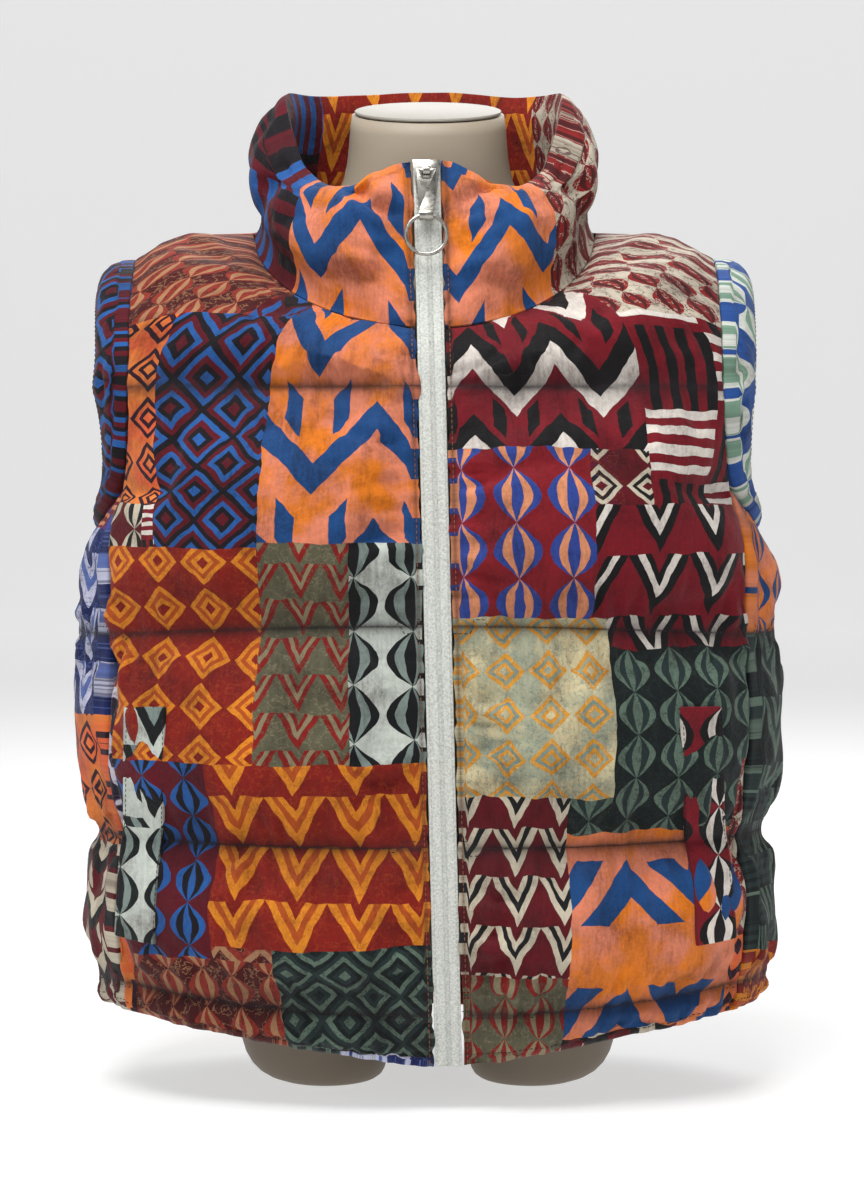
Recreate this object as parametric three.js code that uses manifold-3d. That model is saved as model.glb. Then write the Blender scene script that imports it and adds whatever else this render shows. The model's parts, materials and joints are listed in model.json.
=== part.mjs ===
// A quilted puffer vest with a funnel collar, standing on a limbless dress form.
// Millimetres, +Z up, floor at Z = 0. The zip faces -Y. Left and right are as seen from the front.
// Every cloth piece is a padded wall: its inner face is a plain surface worked out from the tables
// below, and its outer face is that surface moved out by the padding, pinched in at each seam.
import * as THREE from "three";
import { mergeVertices } from "three/addons/utils/BufferGeometryUtils.js";
import Module from "manifold-3d";

const wasm = await Module();
wasm.setup();

// Inner wall of the body. Columns: height, half width, depth to the front, depth to the back
const BODY = [
  [32, 215, 122, 120],
  [55, 221, 127, 125],
  [74, 236, 131, 129],
  [130, 240, 134, 133],
  [190, 238, 134, 134],
  [260, 241, 136, 135],
  [340, 241, 135, 134],
  [410, 240, 132, 132],
  [460, 236, 128, 130],
  [515, 233, 122, 126],
];
const ROUNDNESS = 2.4;
const VEST_MIDDLE = new THREE.Vector3(0, 0, 380);
const SIDE_SEAM_SHARE = 0.9;

// Hem and quilting seams. Columns: height in front, height at the side, wall in front,
// wall at the side, how late the height changes on the way to the side
const SEAMS = [
  [32, 64, 6, 6, 1.35],
  [70, 84, 5, 12, 2],
  [189, 191, 5, 9, 2],
  [346, 338, 5, 19, 2],
  [515, 515, 5, 5, 2],
];
// Padding between two seams. Columns: wall in front, wall at the side, rows of points
const BAFFLES = [
  [15, 15, 3],
  [23, 17, 5],
  [25, 20, 5],
  [26, 20, 6],
];
// The side padding takes over from the front padding between these shares of the half width
const SIDE_PADDING = { from: 0.75, to: 0.98 };
const YOKE_WALL = 22;
const YOKE_TURN = Math.PI / 5;
const YOKE_ROWS = 6;
const SHOULDER_WALL = 13;
const SHOULDER_SWELL = 0.6;
const PUFF_SHAPE = 0.7;

// Armhole: an oval in side view whose widest point lies on the highest quilting seam
const ARMHOLE_MIDDLE = 515;
const ARMHOLE_RISE = 95;
const ARMHOLE_DROP = 105;
const ARMHOLE_CORNER = 444;
const ARMHOLE_WALL = 8;
const ARMHOLE_FADE = { from: -1, to: 30 };
// Rows of points between the armhole's corner at the side seam and its widest point
const CORNER_ROWS = 2;
// Rounds of correction that bring the side's upper edge onto the armhole oval
const EDGE_ROUNDS = 6;
// Opening edge of the armhole band
const OPENING = { middle: 512, rise: 74, drop: 78, depth: 72, reach: 234, flare: 5 };
const BAND_ROWS = 4;
const BAND_WALL = 13;
const BAND_EDGE_WALL = 5;
const BAND_CROWN = 4;

// Neckline and shoulder
const NECK = { half: 127, front: 112, back: 92, frontZ: 556, sideZ: 632, backZ: 648 };
const SHOULDER_TIP = { x: 213, z: 607 };
const SHOULDER_CROWN = 2;
const NECK_SWELL = 0.5;
const NECK_LEAST_WALL = 2;
const NECK_SEAM_WALL = 2.2;
const NECK_SAMPLES = 24;
const NECK_COLUMNS = 8;
const NAPE_COLUMNS = 6;
const SHOULDER_COLUMNS = 4;
const NECK_SHARE = 0.62;
const SIDE_COLUMNS = 3;
// Columns beside the zip that keep their distance from it all the way up
const FLAT_COLUMNS = 2;

// Inner wall of the collar. Columns: share of its height, half width, front, back, wall
const COLLAR = [
  [0, 127, 112, 92, 5],
  [0.12, 114, 107, 87, 18],
  [0.35, 107, 103, 83, 26],
  [0.6, 103, 98, 80, 26],
  [0.85, 99, 91, 79, 22],
  [1, 104, 88, 83, 7],
];
const COLLAR_ROWS = 8;
// Rim of the collar. Columns: angle from the zip in degrees, height
const RIM = [
  [0, 678],
  [12, 675],
  [32, 660],
  [52, 668],
  [86, 735],
  [125, 741],
  [180, 751],
];

// Zip
const TAPE_WIDTH = 11;
const TAPE_WALL = 1.4;
const TAPE_LIFT = 3.5;
const FACING = 6;
const ZIP_FADE = 26;
const SEAM_GAP = 0.6;
const SEAM_WALL = 5;

// The vest hangs a little askew: sideways shift of the zip and of the sides, low and high
const ZIP_SHIFT = { low: 12, high: -4 };
const SIDE_SHIFT = { low: 0, high: -6 };
const SHIFT_LOW = 32;
const SHIFT_HIGH = 678;
const ZIP_REACH = 130;

// Pocket welts. Columns: side, middle of the top end, middle of the lower end
const WELTS = [
  [-1, 202, 211],
  [1, 189, 201],
];
const WELT_TOP = 296;
const WELT_BOTTOM = 100;
const WELT_HALF_WIDTH = 15;
const WELT_WALL = 4;
const WELT_LIFT = 1.1;
const WELT_COLUMNS = 4;
// The welt's ends are found on this column of the front, counted from the side seam
const WELT_GUIDE = 3;

// Dress form. Columns: height, half width, depth to the front, depth to the back
const TORSO = [
  [88, 96, 60, 66],
  [100, 138, 84, 90],
  [135, 160, 96, 106],
  [185, 166, 100, 112],
  [260, 152, 94, 94],
  [335, 143, 96, 86],
  [420, 157, 108, 92],
  [500, 172, 106, 98],
  [560, 186, 84, 84],
  [590, 191, 62, 62],
  [605.6, 187, 38, 40],
  [613.6, 177, 26, 30],
  [619.6, 155, 24, 30],
  [626.6, 125, 27, 34],
  [635.6, 96, 38, 44],
  [650, 74, 50, 53],
  [672, 62, 56, 56],
  [700, 59, 56, 56],
  [722, 58, 56, 56],
];
const FORM_X = -3;
const FORM_SIDES = 32;
const NECK_TILT = Math.tan(THREE.MathUtils.degToRad(14));
const NECK_TILT_START = 650;
const NECK_TOP = 722;
const NECK_PLATE_THICKNESS = 3;
const NECK_PLATE_INSET = 3;
// Thigh stubs. Columns: height, middle, half width, half depth
const STUB = [
  [0, 74, 34, 42],
  [3, 78, 44, 52],
  [12, 82, 52, 62],
  [30, 86, 56, 67],
  [60, 88, 56, 70],
  [150, 88, 58, 72],
];

// Slider, pull tab and ring, in a frame whose origin is the top of the slider on the zip's face
const PULL_TILT = THREE.MathUtils.degToRad(12.5);
const PULL_TOP = { y: -92.5, z: 677 };
const SLIDER = { top: 20, bottom: 14, length: 25, thickness: 3, gap: 0.3 };
const BAR = { z: -9, y: -6.4, radius: 1.2, half: 4.6 };
const BRIDGE = { half: 2.4, bore: 1.65, radius: 3.6, length: 12 };
const TAB = { top: 14, bottom: 11, start: -8, end: -39.2, thickness: 2 };
const EYE = { z: -42, bore: 2.85, radius: 4.1, half: 5 };
const RING = { radius: 14.5, wire: 1.5, sides: 10, steps: 36 };
const ROUND_STEPS = 16;
const PULL_CLEARANCE = 1;
const BAR_ROOM = 2;

const CLOTH_LOOK = { roughness: 0.75, metalness: 0 };
const METAL_LOOK = { roughness: 0.28, metalness: 1 };
const FORM_LOOK = { roughness: 0.6, metalness: 0 };
const PLATE_LOOK = { roughness: 0.5, metalness: 0 };
// Points closer together than this, in millimetres, are one point
const CLOTH_WELD = 0.02;
const MESH_WELD = 1e-4;

const lerp = THREE.MathUtils.lerp;
const smooth = (value, low, high) => THREE.MathUtils.smoothstep(value, low, high);

// Value of one column of a table at a given key, along a smooth curve through the rows
function column(table, index, key) {
  const last = table.length - 1;
  const at = THREE.MathUtils.clamp(key, table[0][0], table[last][0]);
  let i = 0;
  while (i < last - 1 && at > table[i + 1][0]) i += 1;
  const slope = (k) => {
    const a = table[Math.max(k - 1, 0)];
    const b = table[Math.min(k + 1, last)];
    return (b[index] - a[index]) / (b[0] - a[0]);
  };
  const span = table[i + 1][0] - table[i][0];
  const t = (at - table[i][0]) / span;
  const rise = table[i + 1][index] - table[i][index];
  const bend = (1 - t) * (slope(i) * span - rise) - t * (slope(i + 1) * span - rise);
  return table[i][index] + t * rise + t * (1 - t) * bend;
}

const halfWidth = (z) => column(BODY, 1, z);
const depth = (z, face) => column(BODY, face < 0 ? 2 : 3, z);
const SEAM_DEPTH_SHARE = (1 - SIDE_SEAM_SHARE ** ROUNDNESS) ** (1 / ROUNDNESS);
const CORNER_ANGLE = Math.asin((ARMHOLE_MIDDLE - ARMHOLE_CORNER) / ARMHOLE_DROP);

// Half depth of the armhole oval, so that it meets the side seam at its corner
function armholeDepth(face) {
  return (SEAM_DEPTH_SHARE * depth(ARMHOLE_CORNER, face)) / Math.cos(CORNER_ANGLE);
}

// Shares of the way from one seam to the next, closer together near the seams
function shares(count) {
  return Array.from({ length: count + 1 }, (_, k) => (1 - Math.cos((Math.PI * k) / count)) / 2);
}

// How far a point lies from the armhole's edge, and how much padding that leaves it
function armholeFade(x, y, z) {
  const height = z > ARMHOLE_MIDDLE ? ARMHOLE_RISE : ARMHOLE_DROP;
  const across = y / armholeDepth(y < 0 ? -1 : 1);
  const out = (Math.hypot(across, (z - ARMHOLE_MIDDLE) / height) - 1) * ARMHOLE_DROP;
  const inward = Math.max(0, SIDE_SEAM_SHARE * halfWidth(z) - Math.abs(x));
  return smooth(Math.hypot(Math.max(0, out), inward), ARMHOLE_FADE.from, ARMHOLE_FADE.to);
}

// Wall of a body point in baffle number zone, at share w of the way between its two seams
function bodyWall(zone, w, x, y, z) {
  const side = smooth(Math.abs(x) / halfWidth(z), SIDE_PADDING.from, SIDE_PADDING.to);
  const low = lerp(SEAMS[zone][2], SEAMS[zone][3], side);
  const high = lerp(SEAMS[zone + 1][2], SEAMS[zone + 1][3], side);
  const full = lerp(BAFFLES[zone][0], BAFFLES[zone][1], side);
  const floor = lerp(low, high, w);
  const padded = floor + (full - floor) * Math.sin(Math.PI * w) ** PUFF_SHAPE;
  return lerp(ARMHOLE_WALL, padded, armholeFade(x, y, z));
}

// Beside the zip the wall is a flat stitched facing, and the padding swells beyond it
function zipFade(x, wall) {
  const flat = TAPE_WIDTH + FACING;
  return lerp(SEAM_WALL, wall, smooth(Math.abs(x), flat + SEAM_GAP, flat + ZIP_FADE));
}

// Height of the hem or a quilting seam, which changes from the front to the side
function seamHeight(seam, share) {
  const [front, side, , , bend] = SEAMS[seam];
  return lerp(front, side, share ** bend);
}

// Plan section of a front or back: how far a point at x lies from the armhole's depth
function plan(x, z, face) {
  const reach = SIDE_SEAM_SHARE * halfWidth(z);
  const full = depth(z, face);
  const swing = (ARMHOLE_MIDDLE - z) / ARMHOLE_DROP;
  const onArmhole = armholeDepth(face) * Math.sqrt(Math.max(0, 1 - swing ** 2));
  const edge = z < ARMHOLE_CORNER ? full * SEAM_DEPTH_SHARE : onArmhole;
  const curve = (1 - (SIDE_SEAM_SHARE * (x / reach)) ** ROUNDNESS) ** (1 / ROUNDNESS);
  const bulge = (curve - SEAM_DEPTH_SHARE) / (1 - SEAM_DEPTH_SHARE);
  return face * (edge + (full - edge) * bulge);
}

// Positions across half a panel as shares of its reach, from the middle to the side seam
function acrossShares(face) {
  const flat = (TAPE_WIDTH + FACING + SEAM_GAP) / SHOULDER_TIP.x;
  const edge = (TAPE_WIDTH + SEAM_GAP / 2) / SHOULDER_TIP.x;
  const columns = face < 0 ? NECK_COLUMNS : NAPE_COLUMNS;
  const list = [];
  for (let i = 0; i <= columns; i += 1) {
    if (face > 0) list.push((NECK_SHARE * i) / columns);
    else if (i === 0) list.push(edge);
    else list.push(lerp(flat, NECK_SHARE, (i - 1) / (columns - 1)));
  }
  for (let i = 1; i <= SHOULDER_COLUMNS; i += 1) {
    const turn = Math.sin((Math.PI / 2) * (i / SHOULDER_COLUMNS));
    list.push(lerp(NECK_SHARE, 1, turn));
  }
  return list;
}

// Upper edge of a front or back: the neckline, then the shoulder seam
function topEdge(index, face) {
  const columns = face < 0 ? NECK_COLUMNS : NAPE_COLUMNS;
  if (index > columns) {
    const q = (index - columns) / SHOULDER_COLUMNS;
    const crown = SHOULDER_CROWN * Math.sin(Math.PI * q);
    return [lerp(NECK.half, SHOULDER_TIP.x, q), 0, lerp(NECK.sideZ, SHOULDER_TIP.z, q) + crown];
  }
  const first = Math.asin((acrossShares(-1)[0] * SHOULDER_TIP.x) / NECK.half);
  const second = Math.asin((acrossShares(-1)[1] * SHOULDER_TIP.x) / NECK.half);
  let angle = ((Math.PI / 2) * index) / columns;
  if (face < 0) angle = index === 0 ? first : lerp(second, Math.PI / 2, (index - 1) / (columns - 1));
  const end = face < 0 ? NECK.frontZ : NECK.backZ;
  const reach = face < 0 ? NECK.front : NECK.back;
  return [
    NECK.half * Math.sin(angle),
    face * reach * Math.cos(angle),
    lerp(NECK.sideZ, end, Math.cos(angle)),
  ];
}

// Points along the right half of the neckline, front then back
const neckline = [-1, 1].flatMap((face) => Array.from({ length: NECK_SAMPLES }, (_, k) => {
  const angle = ((Math.PI / 2) * k) / (NECK_SAMPLES - 1);
  const end = face < 0 ? NECK.frontZ : NECK.backZ;
  const reach = face < 0 ? NECK.front : NECK.back;
  const [x, y] = [NECK.half * Math.sin(angle), face * reach * Math.cos(angle)];
  return new THREE.Vector3(x, y, lerp(NECK.sideZ, end, Math.cos(angle)));
}));

// The padding of yoke and collar swells slowly beside the neck seam, where they face each other
function neckLimit(x, y, z, wall) {
  const place = new THREE.Vector3(Math.abs(x), y, z);
  const away = Math.min(...neckline.map((point) => point.distanceTo(place)));
  return Math.min(wall, Math.max(NECK_LEAST_WALL, NECK_SWELL * away));
}

// One column of points up a front or back, from the hem to the neckline or shoulder
function panelColumn(index, face) {
  const share = acrossShares(face)[index];
  const points = [];
  const add = (zone, w, z) => {
    const flat = face < 0 && index < FLAT_COLUMNS;
    const reach = SIDE_SEAM_SHARE * halfWidth(z);
    const x = flat ? share * SHOULDER_TIP.x : share * reach;
    const y = plan(x, z, face);
    const wall = bodyWall(zone, w, x, y, z);
    points.push([x, y, z, face < 0 ? zipFade(x, wall) : wall]);
  };
  for (let zone = 0; zone < 3; zone += 1) {
    const low = seamHeight(zone, share);
    const high = seamHeight(zone + 1, share);
    for (const w of shares(BAFFLES[zone][2]).slice(0, -1)) add(zone, w, lerp(low, high, w));
  }
  const low = seamHeight(3, share);
  const height = ARMHOLE_MIDDLE - low;
  for (const w of shares(BAFFLES[3][2] - CORNER_ROWS).slice(0, -1)) {
    const z = lerp(low, ARMHOLE_CORNER, w);
    add(3, (z - low) / height, z);
  }
  for (let row = 0; row <= CORNER_ROWS; row += 1) {
    const z = lerp(ARMHOLE_CORNER, ARMHOLE_MIDDLE, row / CORNER_ROWS);
    add(3, (z - low) / height, z);
  }
  const foot = points[points.length - 1];
  const head = topEdge(index, face);
  const neckColumns = face < 0 ? NECK_COLUMNS : NAPE_COLUMNS;
  const onShoulder = smooth(index - neckColumns, 0, SHOULDER_COLUMNS);
  const turn = lerp(YOKE_TURN, Math.PI / 2, onShoulder);
  const beyond = smooth((index - neckColumns) / SHOULDER_COLUMNS, 0, SHOULDER_SWELL);
  const edge = lerp(NECK_SEAM_WALL, SHOULDER_WALL, beyond);
  const last = index === acrossShares(face).length - 1;
  for (const w of shares(YOKE_ROWS).slice(1)) {
    const up = Math.sin(w * turn) / Math.sin(turn);
    const back = (Math.cos(w * turn) - Math.cos(turn)) / (1 - Math.cos(turn));
    const x = lerp(foot[0], head[0], w);
    const y = lerp(head[1], foot[1], back);
    const z = lerp(foot[2], head[2], up);
    const floor = lerp(SEAM_WALL, edge, w);
    const swell = floor + (YOKE_WALL - floor) * Math.sin(Math.PI * w) ** PUFF_SHAPE;
    const padded = last ? ARMHOLE_WALL : lerp(ARMHOLE_WALL, swell, armholeFade(x, y, z));
    const wall = w < 1 ? neckLimit(x, y, z, padded) : padded;
    points.push([x, y, z, face < 0 && w < 1 ? zipFade(x, wall) : wall]);
  }
  return points;
}

// One column of the side of the back piece, below the armhole, at angle turn from the side
function sideColumn(turn, face) {
  const point = (zone, w, z) => {
    const x = halfWidth(z) * Math.cos(turn) ** (2 / ROUNDNESS);
    const y = face * depth(z, face) * Math.sin(turn) ** (2 / ROUNDNESS);
    return [x, y, z, bodyWall(zone, w, x, y, z)];
  };
  let top = ARMHOLE_CORNER;
  for (let round = 0; round < EDGE_ROUNDS; round += 1) {
    const y = depth(top, face) * Math.sin(turn) ** (2 / ROUNDNESS);
    const lift = Math.sqrt(1 - Math.min(1, y / armholeDepth(face)) ** 2);
    top = ARMHOLE_MIDDLE - ARMHOLE_DROP * lift;
  }
  const share = Math.min(1, Math.cos(turn) ** (2 / ROUNDNESS) / SIDE_SEAM_SHARE);
  const points = [];
  for (let zone = 0; zone < 3; zone += 1) {
    const low = seamHeight(zone, share);
    const high = seamHeight(zone + 1, share);
    for (const w of shares(BAFFLES[zone][2]).slice(0, -1)) points.push(point(zone, w, lerp(low, high, w)));
  }
  const low = seamHeight(3, share);
  for (const w of shares(BAFFLES[3][2] - CORNER_ROWS)) {
    const z = lerp(low, top, w);
    points.push(point(3, (z - low) / (ARMHOLE_MIDDLE - low), z));
  }
  return points;
}

const mirror = (grid) => grid.map((line) => line.map(([x, y, z, wall]) => [-x, y, z, wall]));

// Sideways shift of a point, because the vest hangs a little askew
function askew(x, z) {
  const up = THREE.MathUtils.clamp((z - SHIFT_LOW) / (SHIFT_HIGH - SHIFT_LOW), 0, 1);
  const atZip = lerp(ZIP_SHIFT.low, ZIP_SHIFT.high, up);
  const atSide = lerp(SIDE_SHIFT.low, SIDE_SHIFT.high, up);
  return lerp(atZip, atSide, smooth(Math.abs(x), 0, ZIP_REACH));
}

// A set of cloth pieces that share one surface. Where two pieces meet they share points, so both
// move out the same way there, and each then draws back by half a seam gap.
class Cloth {
  constructor() {
    this.points = [];
    this.walls = [];
    this.lookup = new Map();
    this.patches = [];
  }

  vertex([x, y, z, wall], lift) {
    const key = [x, y, z].map((value) => Math.round(value / CLOTH_WELD)).join(" ");
    if (!this.lookup.has(key)) {
      this.lookup.set(key, this.points.length);
      this.points.push(new THREE.Vector3(x + askew(x, z), y, z));
      this.walls.push({ wall, lift });
    }
    return this.lookup.get(key);
  }

  // Adds one grid of points to a piece. The faces turn away from the middle of the vest
  add(piece, grid, lift = 0) {
    const ids = grid.map((line) => line.map((point) => this.vertex(point, lift)));
    const faces = [];
    for (let i = 0; i + 1 < ids.length; i += 1) {
      for (let j = 0; j + 1 < ids[i].length; j += 1) {
        const [a, b, c, d] = [ids[i][j], ids[i + 1][j], ids[i + 1][j + 1], ids[i][j + 1]];
        if ((i + j) % 2) faces.push([a, b, c], [a, c, d]);
        else faces.push([a, b, d], [b, c, d]);
      }
    }
    const kept = faces.filter(([a, b, c]) => a !== b && b !== c && c !== a);
    let outward = 0;
    for (const face of kept) {
      const [a, b, c] = face.map((id) => this.points[id]);
      const normal = b.clone().sub(a).cross(c.clone().sub(a));
      outward += normal.dot(a.clone().sub(VEST_MIDDLE));
    }
    if (outward < 0) kept.forEach((face) => face.reverse());
    this.patches.push({ piece, faces: kept, ids });
    return ids;
  }

  // Works out each point's direction, from all the pieces that meet there
  settle() {
    this.normals = this.points.map(() => new THREE.Vector3());
    for (const { faces } of this.patches) {
      for (const face of faces) {
        const [a, b, c] = face.map((id) => this.points[id]);
        const normal = b.clone().sub(a).cross(c.clone().sub(a));
        face.forEach((id) => this.normals[id].add(normal));
      }
    }
    this.normals.forEach((normal) => normal.normalize());
  }

  outer(id) {
    const { wall, lift } = this.walls[id];
    return this.points[id].clone().addScaledVector(this.normals[id], lift + wall);
  }

  // Closed solid of one piece: outer wall, inner wall and the edge faces between them
  solid(piece) {
    const faces = this.patches.filter((patch) => patch.piece === piece).flatMap((patch) => patch.faces);
    const used = new Map();
    faces.flat().forEach((id) => used.has(id) || used.set(id, used.size));
    const edges = new Map();
    for (const face of faces) {
      face.forEach((a, k) => edges.set(`${a} ${face[(k + 1) % 3]}`, [a, face[(k + 1) % 3]]));
    }
    const rim = [...edges.values()].filter(([a, b]) => !edges.has(`${b} ${a}`));
    const onRim = new Set(rim.flat());
    const inward = new Map();
    for (const face of faces) {
      const centre = face.reduce((sum, id) => sum.add(this.points[id]), new THREE.Vector3());
      centre.divideScalar(3);
      for (const id of face.filter((corner) => onRim.has(corner))) {
        if (!inward.has(id)) inward.set(id, new THREE.Vector3());
        inward.get(id).add(centre.clone().sub(this.points[id]).normalize());
      }
    }
    const count = used.size;
    const positions = new Float32Array(count * 6);
    for (const [id, slot] of used) {
      const { wall, lift } = this.walls[id];
      const draw = new THREE.Vector3();
      if (inward.has(id)) draw.copy(inward.get(id)).setLength(SEAM_GAP / 2);
      for (const [side, out] of [[0, lift], [1, lift + wall]]) {
        const place = this.points[id].clone().addScaledVector(this.normals[id], out).add(draw);
        place.toArray(positions, (side * count + slot) * 3);
      }
    }
    const index = [];
    for (const [a, b, c] of faces.map((face) => face.map((id) => used.get(id)))) {
      index.push(c, b, a, a + count, b + count, c + count);
    }
    // Each edge face is split along the diagonal that starts at its lower point number, so that
    // the edge faces of two neighbouring pieces are alike
    for (const edge of rim) {
      const [a, b] = edge.map((id) => used.get(id));
      if (edge[0] < edge[1]) index.push(a, b, b + count, a, b + count, a + count);
      else index.push(a, b, a + count, b, b + count, a + count);
    }
    const geometry = new THREE.BufferGeometry();
    geometry.setAttribute("position", new THREE.BufferAttribute(positions, 3));
    geometry.setIndex(index);
    return geometry;
  }
}

// Panels
const cloth = new Cloth();
const frontGrid = acrossShares(-1).map((_, index) => panelColumn(index, -1));
const halfBack = acrossShares(1).map((_, index) => panelColumn(index, 1));
const backGrid = [...mirror(halfBack).reverse(), ...halfBack.slice(1)];
const seamTurn = Math.acos(SIDE_SEAM_SHARE ** (ROUNDNESS / 2));
const sideGrid = [];
for (let i = -SIDE_COLUMNS; i <= SIDE_COLUMNS; i += 1) {
  const face = i < 0 ? -1 : 1;
  sideGrid.push(sideColumn((seamTurn * Math.abs(i)) / SIDE_COLUMNS, face));
}
const frontIds = {};
for (const [side, name] of [[-1, "left"], [1, "right"]]) {
  const turned = side < 0 ? mirror : (grid) => grid;
  frontIds[side] = cloth.add(`front_${name}`, turned(frontGrid));
  cloth.add("back", turned(sideGrid));
  cloth.add(`armhole_band_${name}`, turned(armholeBand()));
}
cloth.add("back", backGrid);

// Band round the armhole, lofted from the panels' edge to the opening's edge
function armholeBand() {
  const last = (grid) => grid[grid.length - 1];
  const corner = sideGrid[0].length - 1;
  const floor = sideGrid.map((line) => last(line));
  const behind = last(halfBack).slice(corner + 1);
  const ahead = last(frontGrid).slice(corner).reverse();
  const loop = [...floor, ...behind, ...ahead.slice(1)];
  return loop.map(([x, y, z]) => {
    const height = z > ARMHOLE_MIDDLE ? ARMHOLE_RISE : ARMHOLE_DROP;
    const across = y / armholeDepth(y < 0 ? -1 : 1);
    const angle = Math.atan2((z - ARMHOLE_MIDDLE) / height, -across);
    const up = Math.sin(angle);
    const end = [
      OPENING.reach + OPENING.flare * up,
      -OPENING.depth * Math.cos(angle),
      OPENING.middle + (up > 0 ? OPENING.rise : OPENING.drop) * up,
    ];
    const line = [];
    for (let j = 0; j <= BAND_ROWS; j += 1) {
      const s = j / BAND_ROWS;
      const swell = Math.sin(Math.PI * s);
      const wall = lerp(ARMHOLE_WALL, BAND_EDGE_WALL, s) + (BAND_WALL - ARMHOLE_WALL) * swell;
      const out = BAND_CROWN * swell;
      line.push([
        lerp(x, end[0], s) + out * Math.abs(up),
        lerp(y, end[1], s) - out * Math.cos(angle),
        lerp(z, end[2], s) + out * Math.max(0, up),
        wall,
      ]);
    }
    return line;
  });
}

// Collar: one padded wall from the neckline up, open at the zip
function collarColumn(foot, index) {
  const [x0, y0, z0] = foot;
  const reach = y0 < 0 ? NECK.front : NECK.back;
  const angle = Math.atan2(Math.abs(x0) / NECK.half, -y0 / reach);
  const top = column(RIM, 1, THREE.MathUtils.radToDeg(angle));
  return shares(COLLAR_ROWS).map((w) => {
    const half = column(COLLAR, 1, w);
    const side = column(COLLAR, y0 < 0 ? 2 : 3, w);
    const x = index < FLAT_COLUMNS ? Math.abs(x0) : half * Math.sin(angle);
    const y = -Math.sign(Math.cos(angle)) * side * Math.sqrt(Math.max(0, 1 - (x / half) ** 2));
    const z = lerp(z0, top, w);
    const wall = zipFade(y0 < 0 ? x : NECK.half, neckLimit(x, y, z, column(COLLAR, 4, w)));
    return w === 0 ? [x0, y0, z0, NECK_SEAM_WALL] : [Math.sign(x0) * x, y, z, wall];
  });
}
const neckRight = frontGrid.slice(0, NECK_COLUMNS + 1).map((line) => line[line.length - 1]);
const nape = halfBack.slice(0, NAPE_COLUMNS).map((line) => line[line.length - 1]);
const halfCollar = [
  ...neckRight.map(collarColumn),
  ...nape.reverse().map((foot) => collarColumn(foot, NECK_COLUMNS)),
];
cloth.add("collar", [...halfCollar, ...mirror(halfCollar).reverse().slice(1)]);
cloth.settle();

// Zip tapes between the two front edges, following their points up to the collar's rim
const tapes = new Cloth();
const zipEdge = [...frontGrid[0], ...halfCollar[0].slice(1)];
for (const [side, name] of [[-1, "left"], [1, "right"]]) {
  const line = (x) => zipEdge.map(([, y, z]) => [side * x, y, z, TAPE_WALL]);
  tapes.add(`zip_tape_${name}`, [line(0), line(TAPE_WIDTH)], TAPE_LIFT);
}
tapes.settle();

// Pocket welts: strips over the outer points of the fronts, moved out
const welts = new Cloth();
for (const [side, top, bottom] of WELTS) {
  const rows = [];
  frontIds[side][0].forEach((_, j) => {
    const line = frontIds[side].map((ids) => cloth.outer(ids[j]));
    const height = line[line.length - WELT_GUIDE].z;
    if (height > WELT_BOTTOM && height < WELT_TOP) rows.push(line);
  });
  const strip = rows.map((line, j) => {
    const middle = lerp(bottom, top, j / (rows.length - 1));
    return Array.from({ length: WELT_COLUMNS + 1 }, (_, k) => {
      const x = middle + lerp(-WELT_HALF_WIDTH, WELT_HALF_WIDTH, k / WELT_COLUMNS);
      const after = Math.max(1, line.findIndex((point) => Math.abs(point.x) > x));
      const [a, b] = [line[after - 1], line[after]];
      const place = a.clone().lerp(b, (x - Math.abs(a.x)) / (Math.abs(b.x) - Math.abs(a.x)));
      return [place.x - askew(place.x, place.z), place.y, place.z, WELT_WALL];
    });
  });
  welts.add(side < 0 ? "pocket_welt_left" : "pocket_welt_right", strip, WELT_LIFT);
}
welts.settle();

// Joining and cutting of closed meshes
function solidOf(geometry) {
  const bare = geometry.clone();
  bare.deleteAttribute("normal");
  bare.deleteAttribute("uv");
  const merged = mergeVertices(bare, MESH_WELD);
  return new wasm.Manifold(new wasm.Mesh({
    numProp: 3,
    vertProperties: new Float32Array(merged.attributes.position.array),
    triVerts: new Uint32Array(merged.index.array),
  }));
}

function geometryOf(solid) {
  const mesh = solid.getMesh();
  const geometry = new THREE.BufferGeometry();
  geometry.setAttribute("position", new THREE.BufferAttribute(new Float32Array(mesh.vertProperties), 3));
  geometry.setIndex(Array.from(mesh.triVerts));
  return geometry;
}

// Closed loft through rings of points, with a flat fan at each end
function loft(rings) {
  const sides = rings[0].length;
  const positions = rings.flat().flat();
  const index = [];
  for (let r = 0; r + 1 < rings.length; r += 1) {
    for (let k = 0; k < sides; k += 1) {
      const [a, b] = [r * sides + k, r * sides + ((k + 1) % sides)];
      index.push(a, b, b + sides, a, b + sides, a + sides);
    }
  }
  for (const [ring, turned] of [[0, true], [rings.length - 1, false]]) {
    const centre = positions.length / 3;
    const sum = rings[ring].reduce((total, p) => total.map((value, k) => value + p[k]), [0, 0, 0]);
    positions.push(...sum.map((value) => value / sides));
    for (let k = 0; k < sides; k += 1) {
      const [a, b] = [ring * sides + k, ring * sides + ((k + 1) % sides)];
      index.push(...(turned ? [b, a, centre] : [a, b, centre]));
    }
  }
  const geometry = new THREE.BufferGeometry();
  geometry.setAttribute("position", new THREE.BufferAttribute(new Float32Array(positions), 3));
  geometry.setIndex(index);
  return geometry;
}

function ellipse(x, y, half, front, back, height) {
  return Array.from({ length: FORM_SIDES }, (_, k) => {
    const angle = (2 * Math.PI * k) / FORM_SIDES;
    const across = Math.sin(angle);
    const point = [x + half * Math.cos(angle), y + (across < 0 ? front : back) * across];
    return [...point, height(point[1])];
  });
}

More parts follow.
